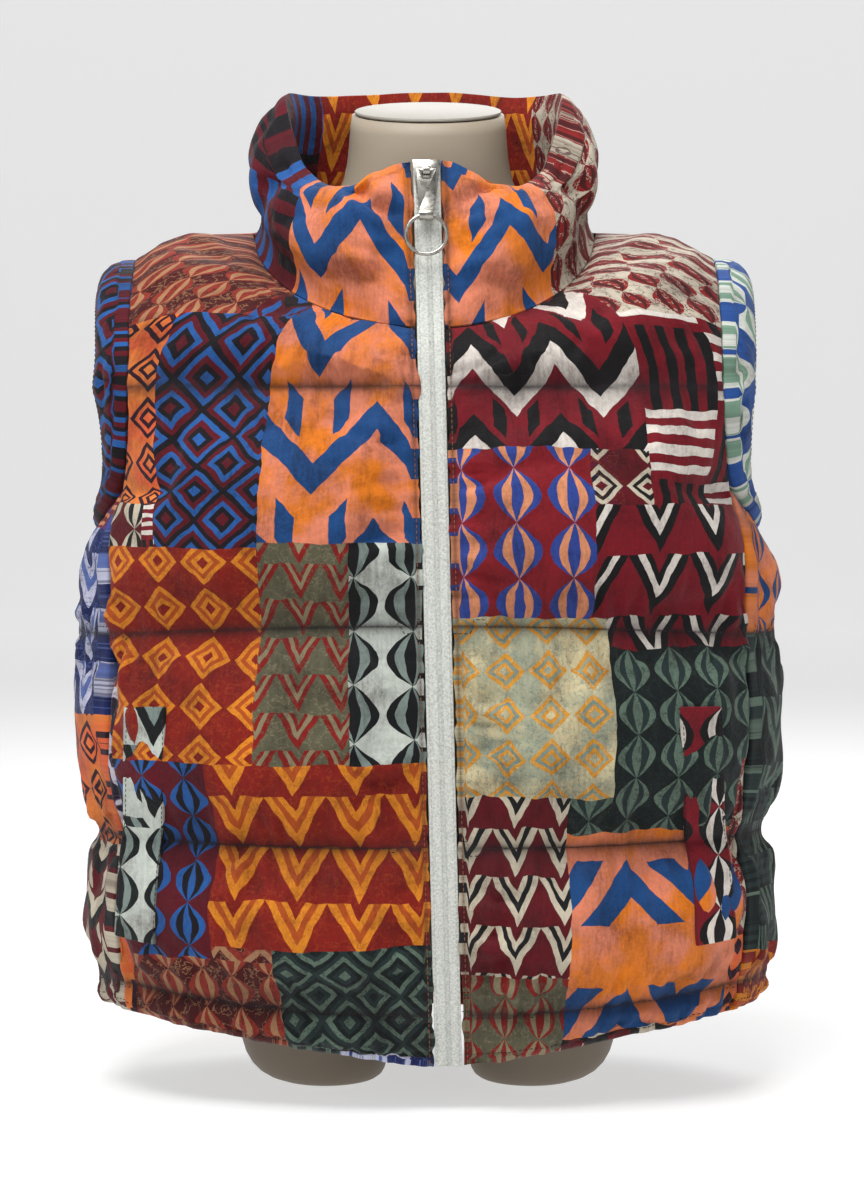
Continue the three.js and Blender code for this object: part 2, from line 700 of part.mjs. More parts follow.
// Dress form: torso and two thigh stubs in one smooth body, and the plate on its neck
function formBody() {
  const tilt = (z) => NECK_TILT * smooth(z, NECK_TILT_START, NECK_TOP);
  const rings = TORSO.map(([z, half, front, back]) => (
    ellipse(FORM_X, 0, half, front, back, (y) => z + y * tilt(z))
  ));
  let body = solidOf(loft(rings));
  for (const side of [-1, 1]) {
    const stub = STUB.map(([z, middle, half, deep]) => (
      ellipse(FORM_X + side * middle, 0, half, deep, deep, () => z)
    ));
    body = body.add(solidOf(loft(stub)));
  }
  return geometryOf(body);
}

function neckPlate() {
  const [, half, front, back] = TORSO[TORSO.length - 1];
  const inset = NECK_PLATE_INSET;
  const rings = [SEAM_GAP, NECK_PLATE_THICKNESS].map((rise) => (
    ellipse(FORM_X, 0, half - inset, front - inset, back - inset, (y) => NECK_TOP + rise + y * NECK_TILT)
  ));
  return loft(rings);
}

// Extrusion along X of an outline drawn in the Y-Z plane, centred on X = 0
function alongX(shape, width) {
  const geometry = new THREE.ExtrudeGeometry(shape, {
    depth: width, bevelEnabled: false, steps: 1, curveSegments: ROUND_STEPS,
  });
  geometry.translate(0, 0, -width / 2);
  geometry.applyMatrix4(new THREE.Matrix4().makeBasis(
    new THREE.Vector3(0, 1, 0),
    new THREE.Vector3(0, 0, 1),
    new THREE.Vector3(1, 0, 0),
  ));
  return geometry;
}

function barAt(y, z, radius, half) {
  const bar = new THREE.CylinderGeometry(radius, radius, 2 * half, ROUND_STEPS);
  bar.rotateZ(Math.PI / 2);
  bar.translate(0, y, z);
  return bar;
}

// Extrusion along Y of an outline drawn in the X-Z plane, from y = back forward
function plate(shape, back, thickness) {
  const geometry = new THREE.ExtrudeGeometry(shape, { depth: thickness, bevelEnabled: false, steps: 1 });
  geometry.rotateX(Math.PI / 2);
  geometry.translate(0, back, 0);
  return geometry;
}

function taper(top, bottom, high, low) {
  return new THREE.Shape([
    new THREE.Vector2(-bottom / 2, low),
    new THREE.Vector2(bottom / 2, low),
    new THREE.Vector2(top / 2, high),
    new THREE.Vector2(-top / 2, high),
  ]);
}

// Slider: tapered plate on the tapes, with a bridge that holds the tab's bar
function slider() {
  const face = -SLIDER.gap;
  const body = plate(taper(SLIDER.top, SLIDER.bottom, 0, -SLIDER.length), face, SLIDER.thickness);
  const front = face - SLIDER.thickness;
  const foot = front + PULL_CLEARANCE;
  const arch = new THREE.Shape();
  arch.moveTo(foot, BAR.z - BRIDGE.length / 2);
  arch.lineTo(foot, BAR.z + BRIDGE.length / 2);
  arch.lineTo(front, BAR.z + BRIDGE.length / 2);
  arch.absarc(BAR.y, BAR.z, BRIDGE.radius, Math.PI / 3, (5 * Math.PI) / 3, false);
  arch.lineTo(front, BAR.z - BRIDGE.length / 2);
  const bridge = solidOf(alongX(arch, 2 * BRIDGE.half));
  const bore = solidOf(barAt(BAR.y, BAR.z, BRIDGE.bore, 2 * BRIDGE.half));
  return geometryOf(solidOf(body).add(bridge).subtract(bore));
}

// Pull tab: a bar under the bridge, two arms, a tapered plate and an eye for the ring
function pullTab() {
  const outline = taper(TAB.top, TAB.bottom, TAB.start, TAB.end);
  const half = BRIDGE.half + PULL_CLEARANCE;
  const windowLow = BAR.z - BRIDGE.length / 2 - PULL_CLEARANCE;
  outline.holes.push(new THREE.Path([
    new THREE.Vector2(-half, windowLow),
    new THREE.Vector2(-half, TAB.start - BAR_ROOM),
    new THREE.Vector2(half, TAB.start - BAR_ROOM),
    new THREE.Vector2(half, windowLow),
  ]));
  const leaf = plate(outline, BAR.y + TAB.thickness / 2, TAB.thickness);
  const clear = solidOf(barAt(BAR.y, BAR.z, BRIDGE.radius + PULL_CLEARANCE, half));
  const bar = solidOf(barAt(BAR.y, BAR.z, BAR.radius, BAR.half));
  const knuckle = solidOf(barAt(BAR.y, EYE.z, EYE.radius, EYE.half));
  const bore = solidOf(barAt(BAR.y, EYE.z, EYE.bore, 2 * EYE.half));
  return geometryOf(solidOf(leaf).subtract(clear).add(bar).add(knuckle).subtract(bore));
}

function pullRing() {
  const ring = new THREE.TorusGeometry(RING.radius, RING.wire, RING.sides, RING.steps);
  ring.rotateX(Math.PI / 2);
  ring.translate(0, BAR.y, EYE.z - RING.radius);
  return ring;
}

const group = new THREE.Group();

function mesh(parent, name, geometry, color, look) {
  const material = new THREE.MeshStandardMaterial({ color, ...look });
  const piece = new THREE.Mesh(geometry, material);
  piece.name = name;
  parent.add(piece);
}

// Colours of the cloth pieces, from the areas of the print that fill most of each
const CLOTH_COLOURS = {
  front_left: 0xb4502a,
  front_right: 0x8c2630,
  back: 0x6e2f2c,
  collar: 0xc9773a,
  armhole_band_left: 0x7a2430,
  armhole_band_right: 0x3f5f8c,
};
for (const [name, colour] of Object.entries(CLOTH_COLOURS)) {
  mesh(group, name, cloth.solid(name), colour, CLOTH_LOOK);
}
for (const name of ["left", "right"]) {
  mesh(group, `zip_tape_${name}`, tapes.solid(`zip_tape_${name}`), 0xbdbeb8, CLOTH_LOOK);
  mesh(group, `pocket_welt_${name}`, welts.solid(`pocket_welt_${name}`), 0x9a9a8c, CLOTH_LOOK);
}
mesh(group, "form_torso", formBody(), 0xb3a592, FORM_LOOK);
mesh(group, "neck_plate", neckPlate(), 0xe4ddd0, PLATE_LOOK);

const pull = new THREE.Group();
pull.position.set(askew(0, PULL_TOP.z), PULL_TOP.y, PULL_TOP.z);
pull.rotation.x = -PULL_TILT;
mesh(pull, "zip_slider", slider(), 0xc7c8c6, METAL_LOOK);
mesh(pull, "pull_tab", pullTab(), 0xcfd0ce, METAL_LOOK);
mesh(pull, "pull_ring", pullRing(), 0xd4d5d2, METAL_LOOK);
group.add(pull);

// The origin is the middle of the footprint of the whole object, on the floor
group.updateMatrixWorld(true);
const box = new THREE.Box3().setFromObject(group);
group.position.set(-(box.min.x + box.max.x) / 2, -(box.min.y + box.max.y) / 2, -box.min.z);

export default group;
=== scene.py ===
# %% [markdown]
# # A quilted puffer vest on its dress form
# The real vest is two layers of printed cotton with padding between them, quilted across in wide
# rows, with a funnel collar and a zip up the front. The frame holds its cut and its sizes.
# This lesson adds what makes it look sewn: padding that swells between the seams, puckers,
# stitches, the print, the woven zip and the polished pull.

# %% Load the fixed frame
import json
import math

import bmesh
import bpy
import numpy as np
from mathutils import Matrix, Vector, bvhtree, noise

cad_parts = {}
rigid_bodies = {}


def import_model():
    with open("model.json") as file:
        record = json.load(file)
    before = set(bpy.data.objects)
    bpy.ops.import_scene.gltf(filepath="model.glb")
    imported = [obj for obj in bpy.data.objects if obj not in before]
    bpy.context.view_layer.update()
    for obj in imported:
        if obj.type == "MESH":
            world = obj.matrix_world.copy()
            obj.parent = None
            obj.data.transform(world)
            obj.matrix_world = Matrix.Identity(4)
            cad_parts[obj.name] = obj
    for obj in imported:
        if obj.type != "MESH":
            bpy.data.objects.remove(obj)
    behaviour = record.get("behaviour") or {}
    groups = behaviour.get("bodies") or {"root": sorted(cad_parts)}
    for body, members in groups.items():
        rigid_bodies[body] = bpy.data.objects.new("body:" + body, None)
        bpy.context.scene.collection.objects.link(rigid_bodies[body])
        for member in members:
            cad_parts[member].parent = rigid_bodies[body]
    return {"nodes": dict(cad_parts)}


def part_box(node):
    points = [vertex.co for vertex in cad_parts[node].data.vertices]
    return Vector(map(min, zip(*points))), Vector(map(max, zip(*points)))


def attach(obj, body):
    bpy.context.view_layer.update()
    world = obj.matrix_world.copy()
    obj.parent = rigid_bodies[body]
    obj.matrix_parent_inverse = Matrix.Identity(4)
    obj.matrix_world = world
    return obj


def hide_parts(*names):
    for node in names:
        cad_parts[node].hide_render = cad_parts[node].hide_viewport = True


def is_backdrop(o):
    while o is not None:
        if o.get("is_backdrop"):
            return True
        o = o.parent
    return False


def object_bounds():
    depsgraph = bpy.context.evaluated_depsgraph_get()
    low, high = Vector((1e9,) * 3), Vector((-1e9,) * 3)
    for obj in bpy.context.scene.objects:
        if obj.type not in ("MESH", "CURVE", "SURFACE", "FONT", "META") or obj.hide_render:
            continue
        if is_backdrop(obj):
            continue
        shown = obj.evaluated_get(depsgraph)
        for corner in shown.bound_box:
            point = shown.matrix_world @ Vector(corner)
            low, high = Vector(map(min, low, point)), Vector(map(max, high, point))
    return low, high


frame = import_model()
cad_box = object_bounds()
nodes = frame["nodes"]
MM = 0.001
print("nodes in the frame:", len(nodes))

# %% [markdown]
# ## Helpers for meshes
# Operators act on everything that is selected, so each helper starts from an empty selection.
# A node of the frame is loose triangles. Its copy is merged, and pairs of triangles become quads,
# because a subdivision surface flows along quads.

# %% Copy a node of the frame
MERGE_DISTANCE = 0.01 * MM
QUAD_FOLD = math.radians(50)


def pick_only(piece):
    bpy.ops.object.select_all(action="DESELECT")
    piece.select_set(True)
    bpy.context.view_layer.objects.active = piece


def merged_copy(node, name):
    piece = bpy.data.objects.new(name, nodes[node].data.copy())
    piece.data.name = name
    bpy.context.scene.collection.objects.link(piece)
    piece.data.materials.clear()
    pick_only(piece)
    bpy.ops.object.mode_set(mode="EDIT")
    bpy.ops.mesh.select_all(action="SELECT")
    bpy.ops.mesh.customdata_custom_splitnormals_clear()
    bpy.ops.mesh.remove_doubles(threshold=MERGE_DISTANCE)
    bpy.ops.mesh.tris_convert_to_quads(face_threshold=QUAD_FOLD, shape_threshold=QUAD_FOLD)
    bpy.ops.object.mode_set(mode="OBJECT")
    bpy.ops.object.shade_smooth()
    return piece


def finish_modifier(piece, kind, **settings):
    pick_only(piece)
    modifier = piece.modifiers.new(kind.lower(), kind)
    for key, value in settings.items():
        setattr(modifier, key, value)
    bpy.ops.object.modifier_apply(modifier=modifier.name)


def subdivide(piece, levels):
    finish_modifier(piece, "SUBSURF", levels=levels, render_levels=levels)


def read(items, key, width=3):
    flat = np.empty(len(items) * width, np.float32)
    items.foreach_get(key, flat)
    return flat.reshape(-1, width).astype(float)


def points_of(piece):
    return read(piece.data.vertices, "co")


def normals_of(piece):
    return read(piece.data.vertex_normals, "vector")


def set_points(piece, points):
    piece.data.vertices.foreach_set("co", points.astype(np.float32).ravel())
    piece.data.update()


def write_layer(piece, name, values, kind="FLOAT", key="value"):
    layer = piece.data.attributes.new(name, kind, "POINT")
    layer.data.foreach_set(key, values.astype(np.float32).ravel())


def smoothstep(value, low, high):
    share = np.clip((np.asarray(value, float) - low) / (high - low), 0, 1)
    return share * share * (3 - 2 * share)


# %% [markdown]
# ## Where a point lies on the vest
# Quilting seams, puckers and print all follow the cloth, not the room. Each point gets a place on
# the cloth: how far round the body it is, and how high. The distance round comes from the plan of
# the body, an oval with flattened sides.

# %% Place on the cloth
BODY_HALF_WIDTH = 240 * MM
BODY_DEPTH = 133 * MM
BODY_ROUNDNESS = 2.4
SIDE_SEAM_SHARE = 0.9
# Heights of the quilting seams: in front, at the side seam, how late they change between
QUILT_SEAMS = [(70, 84, 2), (189, 191, 2), (346, 338, 2), (515, 515, 2)]
YOKE_FOOT = 515 * MM
YOKE_TURN = 90 * MM
COLLAR_RADIUS = 115 * MM
# The zip leans: how far it is from the vest's middle at two heights
ZIP_SHIFT = (12 * MM, -4 * MM)
SHIFT_HEIGHTS = (32 * MM, 678 * MM)
# The vest's middle is this far to the right of the frame's
VEST_SHIFT = 2.37 * MM
VEST_X = float((cad_box[0][0] + cad_box[1][0]) / 2) + VEST_SHIFT
# Each part of the vest has a stretch of cloth of its own, a few metres from the fronts' at 0
BACK_PLACE = 2.0
COLLAR_PLACE = 4.0
BAND_PLACES = {"armhole_band_left": 6.0, "armhole_band_right": 8.0}
WELT_PLACE = 10.0


def oval_table():
    turns = np.linspace(0, math.pi, 721)
    power = 2 / BODY_ROUNDNESS
    across = BODY_HALF_WIDTH * np.abs(np.sin(turns)) ** power
    ahead = BODY_DEPTH * np.sign(np.cos(turns)) * np.abs(np.cos(turns)) ** power
    steps = np.hypot(np.diff(across), np.diff(ahead))
    angles = np.arctan2(across / BODY_HALF_WIDTH, ahead / BODY_DEPTH)
    return angles, np.concatenate([[0], np.cumsum(steps)])


OVAL_ANGLES, OVAL_LENGTHS = oval_table()
print("round the body:", round(2 * OVAL_LENGTHS[-1] * 1000), "mm")


def length_round(x, y, facing):
    """Distance round the body from the middle of the front (facing -1) or of the back (1)."""
    angle = np.arctan2(np.abs(x) / BODY_HALF_WIDTH, facing * y / BODY_DEPTH)
    return np.sign(x) * np.interp(angle, OVAL_ANGLES, OVAL_LENGTHS)


def zip_middle(z):
    share = np.clip((z - SHIFT_HEIGHTS[0]) / (SHIFT_HEIGHTS[1] - SHIFT_HEIGHTS[0]), 0, 1)
    return VEST_X + ZIP_SHIFT[0] + (ZIP_SHIFT[1] - ZIP_SHIFT[0]) * share


def seam_level(seam, x):
    """Height of a seam at a distance x from the vest's middle, in metres."""
    front, side, bend = seam
    share = np.clip(np.abs(x) / (SIDE_SEAM_SHARE * BODY_HALF_WIDTH), 0, 1) ** bend
    return (front + (side - front) * share) * MM


def seam_distance(points):
    """Signed height above the nearest quilting seam, in metres."""
    across = points[:, 0] - VEST_X
    gaps = np.array([points[:, 2] - seam_level(seam, across) for seam in QUILT_SEAMS])
    return np.take_along_axis(gaps, np.abs(gaps).argmin(0)[None], 0)[0]


# %% [markdown]
# ## Padding
# Filling pushes the cloth out between the seams until it is tight, and the cloth's slack gathers
# into puckers beside them. Blender's Cloth with pressure does the same. Seams, edges and the
# lining are held, and the rest may swell and buckle, but only so far.

# %% Hold the seams, then inflate
EDGE_FOLD = math.radians(50)
EDGE_CREASE = 0.72
THIN_WALL = 7 * MM
THICK_WALL = 15 * MM
SEAM_HOLD = 4 * MM
SEAM_FREE = 14 * MM
PRESSURE = 4
SWELL_FRAMES = 20
CLOTH_GROWTH = -0.045


def outward(points, normals, core_height):
    """Which points lie on the outside of a wall, seen from the middle of the vest."""
    away = points.copy()
    away[:, 0] -= VEST_X
    away[:, 2] = np.maximum(0, points[:, 2] - core_height)
    return np.einsum("ij,ij->i", away, normals) > 0


def crease_edges(piece):
    shape = bmesh.new()
    shape.from_mesh(piece.data)
    layer = shape.edges.layers.float.new("crease_edge")
    for edge in shape.edges:
        if edge.is_manifold and edge.calc_face_angle(0) > EDGE_FOLD:
            edge[layer] = EDGE_CREASE
    shape.to_mesh(piece.data)
    shape.free()


def lining_under(piece, core_height):
    """For each point: whether it is outside, and the nearest point of the wall's inner face."""
    points = points_of(piece)
    outside = outward(points, normals_of(piece), core_height)
    mesh = piece.data
    mesh.calc_loop_triangles()
    lining = [
        list(tri.vertices) for tri in mesh.loop_triangles
        if not any(outside[v] for v in tri.vertices)
    ]
    tree = bvhtree.BVHTree.FromPolygons([Vector(p) for p in points], lining)
    return outside, np.array([tree.find_nearest(Vector(p))[0] for p in points])


def hold_weights(points, outside, inner, quilted):
    """1 where the cloth is held, 0 where it may move."""
    wall = np.linalg.norm(points - inner, axis=1)
    free = smoothstep(wall, THIN_WALL, THICK_WALL)
    if quilted:
        free *= smoothstep(np.abs(seam_distance(points)), SEAM_HOLD, SEAM_FREE)
    free[~outside] = 0
    return 1 - free


def inflate(piece, held, cap):
    group = piece.vertex_groups.new(name="held")
    for index, weight in enumerate(held):
        group.add([index], float(weight), "REPLACE")
    start = points_of(piece)
    modifier = piece.modifiers.new("padding", "CLOTH")
    cloth = modifier.settings
    cloth.quality = 4
    cloth.mass = 0.15
    cloth.tension_stiffness = 12
    cloth.compression_stiffness = 12
    cloth.shear_stiffness = 4
    cloth.bending_stiffness = 0.12
    cloth.vertex_group_mass = "held"
    cloth.use_pressure = True
    cloth.uniform_pressure_force = PRESSURE
    cloth.shrink_min = CLOTH_GROWTH
    cloth.effector_weights.gravity = 0
    modifier.collision_settings.use_collision = False
    modifier.point_cache.frame_start = 1
    modifier.point_cache.frame_end = SWELL_FRAMES
    for number in range(1, SWELL_FRAMES + 1):
        bpy.context.scene.frame_set(number)
    move = points_of(piece.evaluated_get(bpy.context.evaluated_depsgraph_get())) - start
    length = np.linalg.norm(move, axis=1)
    move *= (cap * np.tanh(length / cap) / np.maximum(length, 1e-9))[:, None]
    piece.modifiers.remove(modifier)
    piece.vertex_groups.clear()
    set_points(piece, start + move)
    bpy.context.scene.frame_set(1)
    print(piece.name, "swelled by up to", round(float(length.max()) * 1000, 1), "mm")


# %% [markdown]
# ## Puckers
# Beside each seam the slack cloth stands in short ridges that run away from the seam and die out.
# They are a noise that is stretched across the seam and strongest beside it. Larger creases come
# from a table. Beside the seams and in the facing's groove the print is darkened with painted
# shade, where shadow falls in the creases.

# %% Pucker the cloth beside the seams
PUCKER_WIDTH = 14 * MM
PUCKER_LENGTH = 45 * MM
PUCKER_HEIGHT = 10.0 * MM
PUCKER_REACH = 24 * MM
# Puckers on the held cloth, as a share of those on the free cloth
HELD_SHARE = 0.25
BILLOW_RISE = 2.4
BILLOW_SINK = 0.5
DIMPLE_WIDTH = 42 * MM
DIMPLE_HEIGHT = 4.2 * MM
# Painted shade beside the seams: a dark core and a wider, fainter spread
PAINTED_SHADE_CORE = 2.2 * MM
PAINTED_SHADE_REACH = 14 * MM
SHADE_CORE_SHARE = 0.6
CREASE_END = 0.3
CREASE_DIP = 1.3
SWELL_RISE = 0.5
SWELL_WIDTH = 2.4
# The folded facing beside the zip: the edge that puckers start from, the groove along it, and
# the painted shade in the groove
FACING_EDGE = 17 * MM
GROOVE_PLACE = 14.4 * MM
GROOVE_WIDTH = 2.2 * MM
GROOVE_DEPTH = 1.4 * MM
GROOVE_SHADE = 0.6
# The cloth beside the zip moves this far over the tapes, and less between these distances
ZIP_COVER = 1.1 * MM
COVER_FADE = (13 * MM, 30 * MM)
# Larger creases. Columns: from and to on the cloth, width and depth, in mm
FOLDS = [
    (-20, 585, -95, 560, 8, 6.8), (-20, 470, -80, 488, 7, 5.6), (-20, 415, -70, 398, 7, 5.2),
    (-20, 262, -96, 250, 7, 5.2), (-20, 232, -60, 238, 6, 4.4), (20, 560, 110, 590, 8, 6.4),
    (20, 448, 90, 462, 7, 5.2), (20, 300, 84, 288, 7, 4.8), (20, 150, 70, 160, 7, 4.4),
    (-170, 500, -186, 440, 8, 5.2), (120, 505, 128, 450, 8, 5.2), (-232, 330, -214, 262, 9, 5.6),
    (226, 334, 212, 270, 9, 5.6), (-120, 184, -128, 140, 7, 4.8), (150, 182, 160, 134, 7, 4.8),
    (-70, 340, -62, 300, 7, 4.8), (96, 340, 88, 296, 7, 4.8),
    (3655, 62, 3738, 98, 8, 10.4), (3655, 28, 3722, 16, 7, 8.0), (3760, 96, 3796, 20, 9, 8.0),
    (4345, 72, 4268, 102, 8, 9.6), (4345, 26, 4282, 10, 7, 7.2), (4248, 92, 4210, 18, 9, 8.0),
    (1860, 566, 1960, 548, 9, 6.0), (2050, 540, 2150, 566, 9, 6.0), (1900, 500, 1912, 430, 9, 5.6),
    (2096, 330, 2088, 268, 9, 5.6), (1800, 326, 1816, 250, 9, 5.6), (2180, 184, 2170, 130, 8, 4.8),
]


def ripple(across, along, seed):
    spots = zip(across, along)
    return np.array([noise.noise(Vector((a, b, seed))) for a, b in spots])


def crease_depth(place):
    """How deep the larger creases are at each place, with a low swell on either side of them."""
    depth = np.zeros(len(place))
    for u0, v0, u1, v1, width, deep in FOLDS:
        start, run = np.array([u0, v0]) * MM, np.array([u1 - u0, v1 - v0]) * MM
        share = np.clip((place - start) @ run / (run @ run), 0, 1)
        away = np.linalg.norm(place - start - share[:, None] * run, axis=1) / (width * MM)
        ends = CREASE_END + (1 - CREASE_END) * np.sin(math.pi * share)
        swell = SWELL_RISE * np.exp(-(away / SWELL_WIDTH) ** 2)
        depth += deep * MM * ends * (CREASE_DIP * np.exp(-away ** 2) - swell)
    return depth


def billow(noise_values):
    """Round hills with sharp valleys between them."""
    return BILLOW_RISE * np.abs(noise_values) - BILLOW_SINK


def pucker(piece, place, free, seed):
    points = points_of(piece)
    normals = normals_of(piece)
    across_seam = np.abs(seam_distance(points))
    off = points[:, 0] - zip_middle(points[:, 2])
    from_zip = np.abs(np.abs(off) - FACING_EDGE)
    near_row = np.exp(-across_seam / PUCKER_REACH)
    near_zip = np.exp(-from_zip / PUCKER_REACH) * (points[:, 1] < 0)
    rows = ripple(place[:, 0] / PUCKER_WIDTH, place[:, 1] / PUCKER_LENGTH, seed)
    sides = ripple(place[:, 0] / PUCKER_LENGTH, place[:, 1] / PUCKER_WIDTH, seed + 7)
    dimples = ripple(place[:, 0] / DIMPLE_WIDTH, place[:, 1] / DIMPLE_WIDTH, seed + 13)
    height = PUCKER_HEIGHT * (billow(rows) * near_row + billow(sides) * near_zip)
    creases = crease_depth(place)
    print("creases up to", round(float(creases.max()) * 1000, 1), "mm deep")
    height += DIMPLE_HEIGHT * dimples - creases
    front = (points[:, 1] < 0) & (np.abs(place[:, 0] - BACK_PLACE) > 1)
    groove = np.exp(-((np.abs(off) - GROOVE_PLACE) / GROOVE_WIDTH) ** 2) * front
    height -= GROOVE_DEPTH * groove
    cover = ZIP_COVER * (1 - smoothstep(np.abs(off), *COVER_FADE)) * front
    points[:, 0] -= np.sign(off) * cover
    set_points(piece, points + normals * (height * free)[:, None])
    # Painted shade: the print darkens beside the seams and in the facing's groove, where shadow
    # falls
    painted_crease_shade = SHADE_CORE_SHARE * np.exp(-across_seam / PAINTED_SHADE_CORE)
    painted_crease_shade += (1 - SHADE_CORE_SHARE) * np.exp(-across_seam / PAINTED_SHADE_REACH)
    painted_crease_shade *= place[:, 0] < COLLAR_PLACE - 1
    write_layer(piece, "painted_crease_shade", np.maximum(painted_crease_shade, GROOVE_SHADE * groove))


def write_place(piece, place, key):
    data = np.column_stack([place, np.full(len(place), key)])
    write_layer(piece, "print_place", data, "FLOAT_VECTOR", "vector")


def read_place(piece):
    return read(piece.data.attributes["print_place"].data, "vector")[:, :2]


# %% The padded pieces
# Columns: node, height of the core that the outside faces away from, cap on swelling,
# side it is measured from, seed
PADDED = [
    ("front_left", 470 * MM, 7 * MM, -1, 3),
    ("front_right", 470 * MM, 7 * MM, -1, 5),
    ("back", 470 * MM, 7 * MM, 1, 8),
    ("collar", 900 * MM, 6 * MM, 1, 12),
    ("armhole_band_left", 900 * MM, 3 * MM, 1, 17),
    ("armhole_band_right", 900 * MM, 3 * MM, 1, 21),
]
QUILTED = ("front_left", "front_right", "back")
# The print follows the zip's lean near the zip and lets go of it between these distances
LEAN_FADE = (20 * MM, 150 * MM)
# Where the collar is sewn on. Columns: depth and height in mm
NECK_SEAM = [(-112, 556), (0, 632), (92, 648)]


def cloth_place(node, points, facing):
    """Distance round and height of each point in metres, on the piece's own stretch of cloth."""
    x, y, z = points[:, 0] - VEST_X, points[:, 1], points[:, 2]
    lean = (zip_middle(z) - VEST_X) * (1 - smoothstep(np.abs(x), *LEAN_FADE))
    x = x - lean * (y < 0)
    if node.startswith("armhole"):
        return np.column_stack([BAND_PLACES[node] + y, z])
    if node.startswith("pocket"):
        return np.column_stack([WELT_PLACE + x, z])
    if node == "collar":
        depths, heights = np.transpose(NECK_SEAM) * MM
        angle = np.arctan2(x, facing * y)
        return np.column_stack([
            COLLAR_PLACE + COLLAR_RADIUS * angle, z - np.interp(y, depths, heights),
        ])
    over = np.maximum(0, z - YOKE_FOOT)
    inward = np.maximum(0, BODY_DEPTH - np.abs(y)) * smoothstep(over, 0, YOKE_TURN)
    height = np.minimum(z, YOKE_FOOT) + np.hypot(over, inward)
    start = BACK_PLACE if facing > 0 else 0
    return np.column_stack([start + length_round(x, y, facing), height])


def padded_piece(node, core_height, cap, facing, seed):
    piece = merged_copy(node, f"{node}_padded")
    crease_edges(piece)
    subdivide(piece, 2)
    outside, inner = lining_under(piece, core_height)
    held = hold_weights(points_of(piece), outside, inner, node in QUILTED)
    write_layer(piece, "free", 1 - held)
    write_place(piece, cloth_place(node, inner, facing), seed)
    inflate(piece, held, cap)
    subdivide(piece, 1)
    free = read(piece.data.attributes["free"].data, "value", 1)[:, 0]
    piece.data.attributes.remove(piece.data.attributes["free"])
    pucker(piece, read_place(piece), HELD_SHARE + (1 - HELD_SHARE) * free, seed)
    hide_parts(node)
    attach(piece, "vest")
    print(piece.name, len(piece.data.polygons), "faces")
    return piece


padding = {row[0]: padded_piece(*row) for row in PADDED}

# %% [markdown]
# ## Pocket welts
# A welt is a flat folded strip that covers the pocket's slit. It is only lightly padded, so it
# needs softened edges, not pressure.


# %% Soften the welts
def welt(node, seed):
    piece = merged_copy(node, f"{node}_soft")
    crease_edges(piece)
    subdivide(piece, 3)
    write_place(piece, cloth_place(node, points_of(piece), -1), seed)
    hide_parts(node)
    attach(piece, "vest")
    return piece


welts = [welt("pocket_welt_left", 25), welt("pocket_welt_right", 29)]
print("welts:", len(welts))

# %% [markdown]
# ## Zip, pull and form
# The tapes are flat woven strips, so they are only made finer. The metal pieces get a small bevel,
# because a polished edge shows as a bright line. The form is one smooth moulded skin.

# %% Finer copies of the rigid pieces
EDGE_BEVEL = 0.35 * MM
PLATE_BEVEL = 1.2 * MM
BEVEL_ABOVE = math.radians(35)
SMOOTH_BELOW = math.radians(40)
TAPE_SLIT = 1.2 * MM
# The cloth beside the zip covers the tapes' outer edges
TAPE_SHARE = 0.9


def finer(node, name, body, levels, bevel=0.0):
    piece = merged_copy(node, name)
    if bevel:
        finish_modifier(piece, "BEVEL", width=bevel, segments=2, limit_method="ANGLE",
                        angle_limit=BEVEL_ABOVE, harden_normals=False)
        bpy.ops.object.shade_smooth_by_angle(angle=SMOOTH_BELOW)
    else:
        crease_edges(piece)
        subdivide(piece, levels)
    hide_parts(node)
    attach(piece, body)
    return piece


def close_middle(piece):
    """The closed zip has no slit, so the tapes' inner edges meet in the middle."""
    points = points_of(piece)
    middle = zip_middle(points[:, 2])
    off = points[:, 0] - middle
    off[np.abs(off) < TAPE_SLIT] = 0
    points[:, 0] = middle + off * TAPE_SHARE
    set_points(piece, points)


tapes = [finer(f"zip_tape_{side}", f"zip_tape_{side}_woven", "vest", 2)
         for side in ("left", "right")]
for tape in tapes:
    close_middle(tape)
slider = finer("zip_slider", "zip_slider_bevelled", "vest", 0, EDGE_BEVEL)
tab = finer("pull_tab", "pull_tab_bevelled", "tab", 0, EDGE_BEVEL)
form = finer("form_torso", "form_torso_smooth", "vest", 1)
plate = finer("neck_plate", "neck_plate_smooth", "vest", 0, PLATE_BEVEL)

# %% [markdown]
# The ring is a round wire. A torus at the ring's own centre and tilt has a smoother outline than
# the frame's coarse one.

# %% Ring
RING_RADIUS = 14.5 * MM
WIRE_RADIUS = 1.5 * MM
PULL_TILT = math.radians(12.5)
ring_low, ring_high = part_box("pull_ring")
bpy.ops.object.select_all(action="DESELECT")
bpy.ops.mesh.primitive_torus_add(
    location=(ring_low + ring_high) / 2, rotation=(math.pi / 2 - PULL_TILT, 0, 0),
    major_radius=RING_RADIUS, minor_radius=WIRE_RADIUS, major_segments=96, minor_segments=20,
)
ring = bpy.context.object
ring.name = "pull_ring_round"
bpy.ops.object.transform_apply(location=True, rotation=True, scale=True)
bpy.ops.object.shade_smooth()
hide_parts("pull_ring")
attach(ring, "ring")
print("ring:", [round(v * 1000, 1) for v in ring.dimensions], "mm")

# %% [markdown]
# ## Stitches and the zip's chain
# A row of stitches is one small bead of thread, repeated along a line that lies on the cloth.
# Each line is found by looking at the finished pieces from outside, so that every stitch sits on
# what it sews. The chain of the closed zip is made the same way, with small ribs.

# %% Look at the cloth from outside
FAR = 0.8
ROW_BREAK = 12 * MM


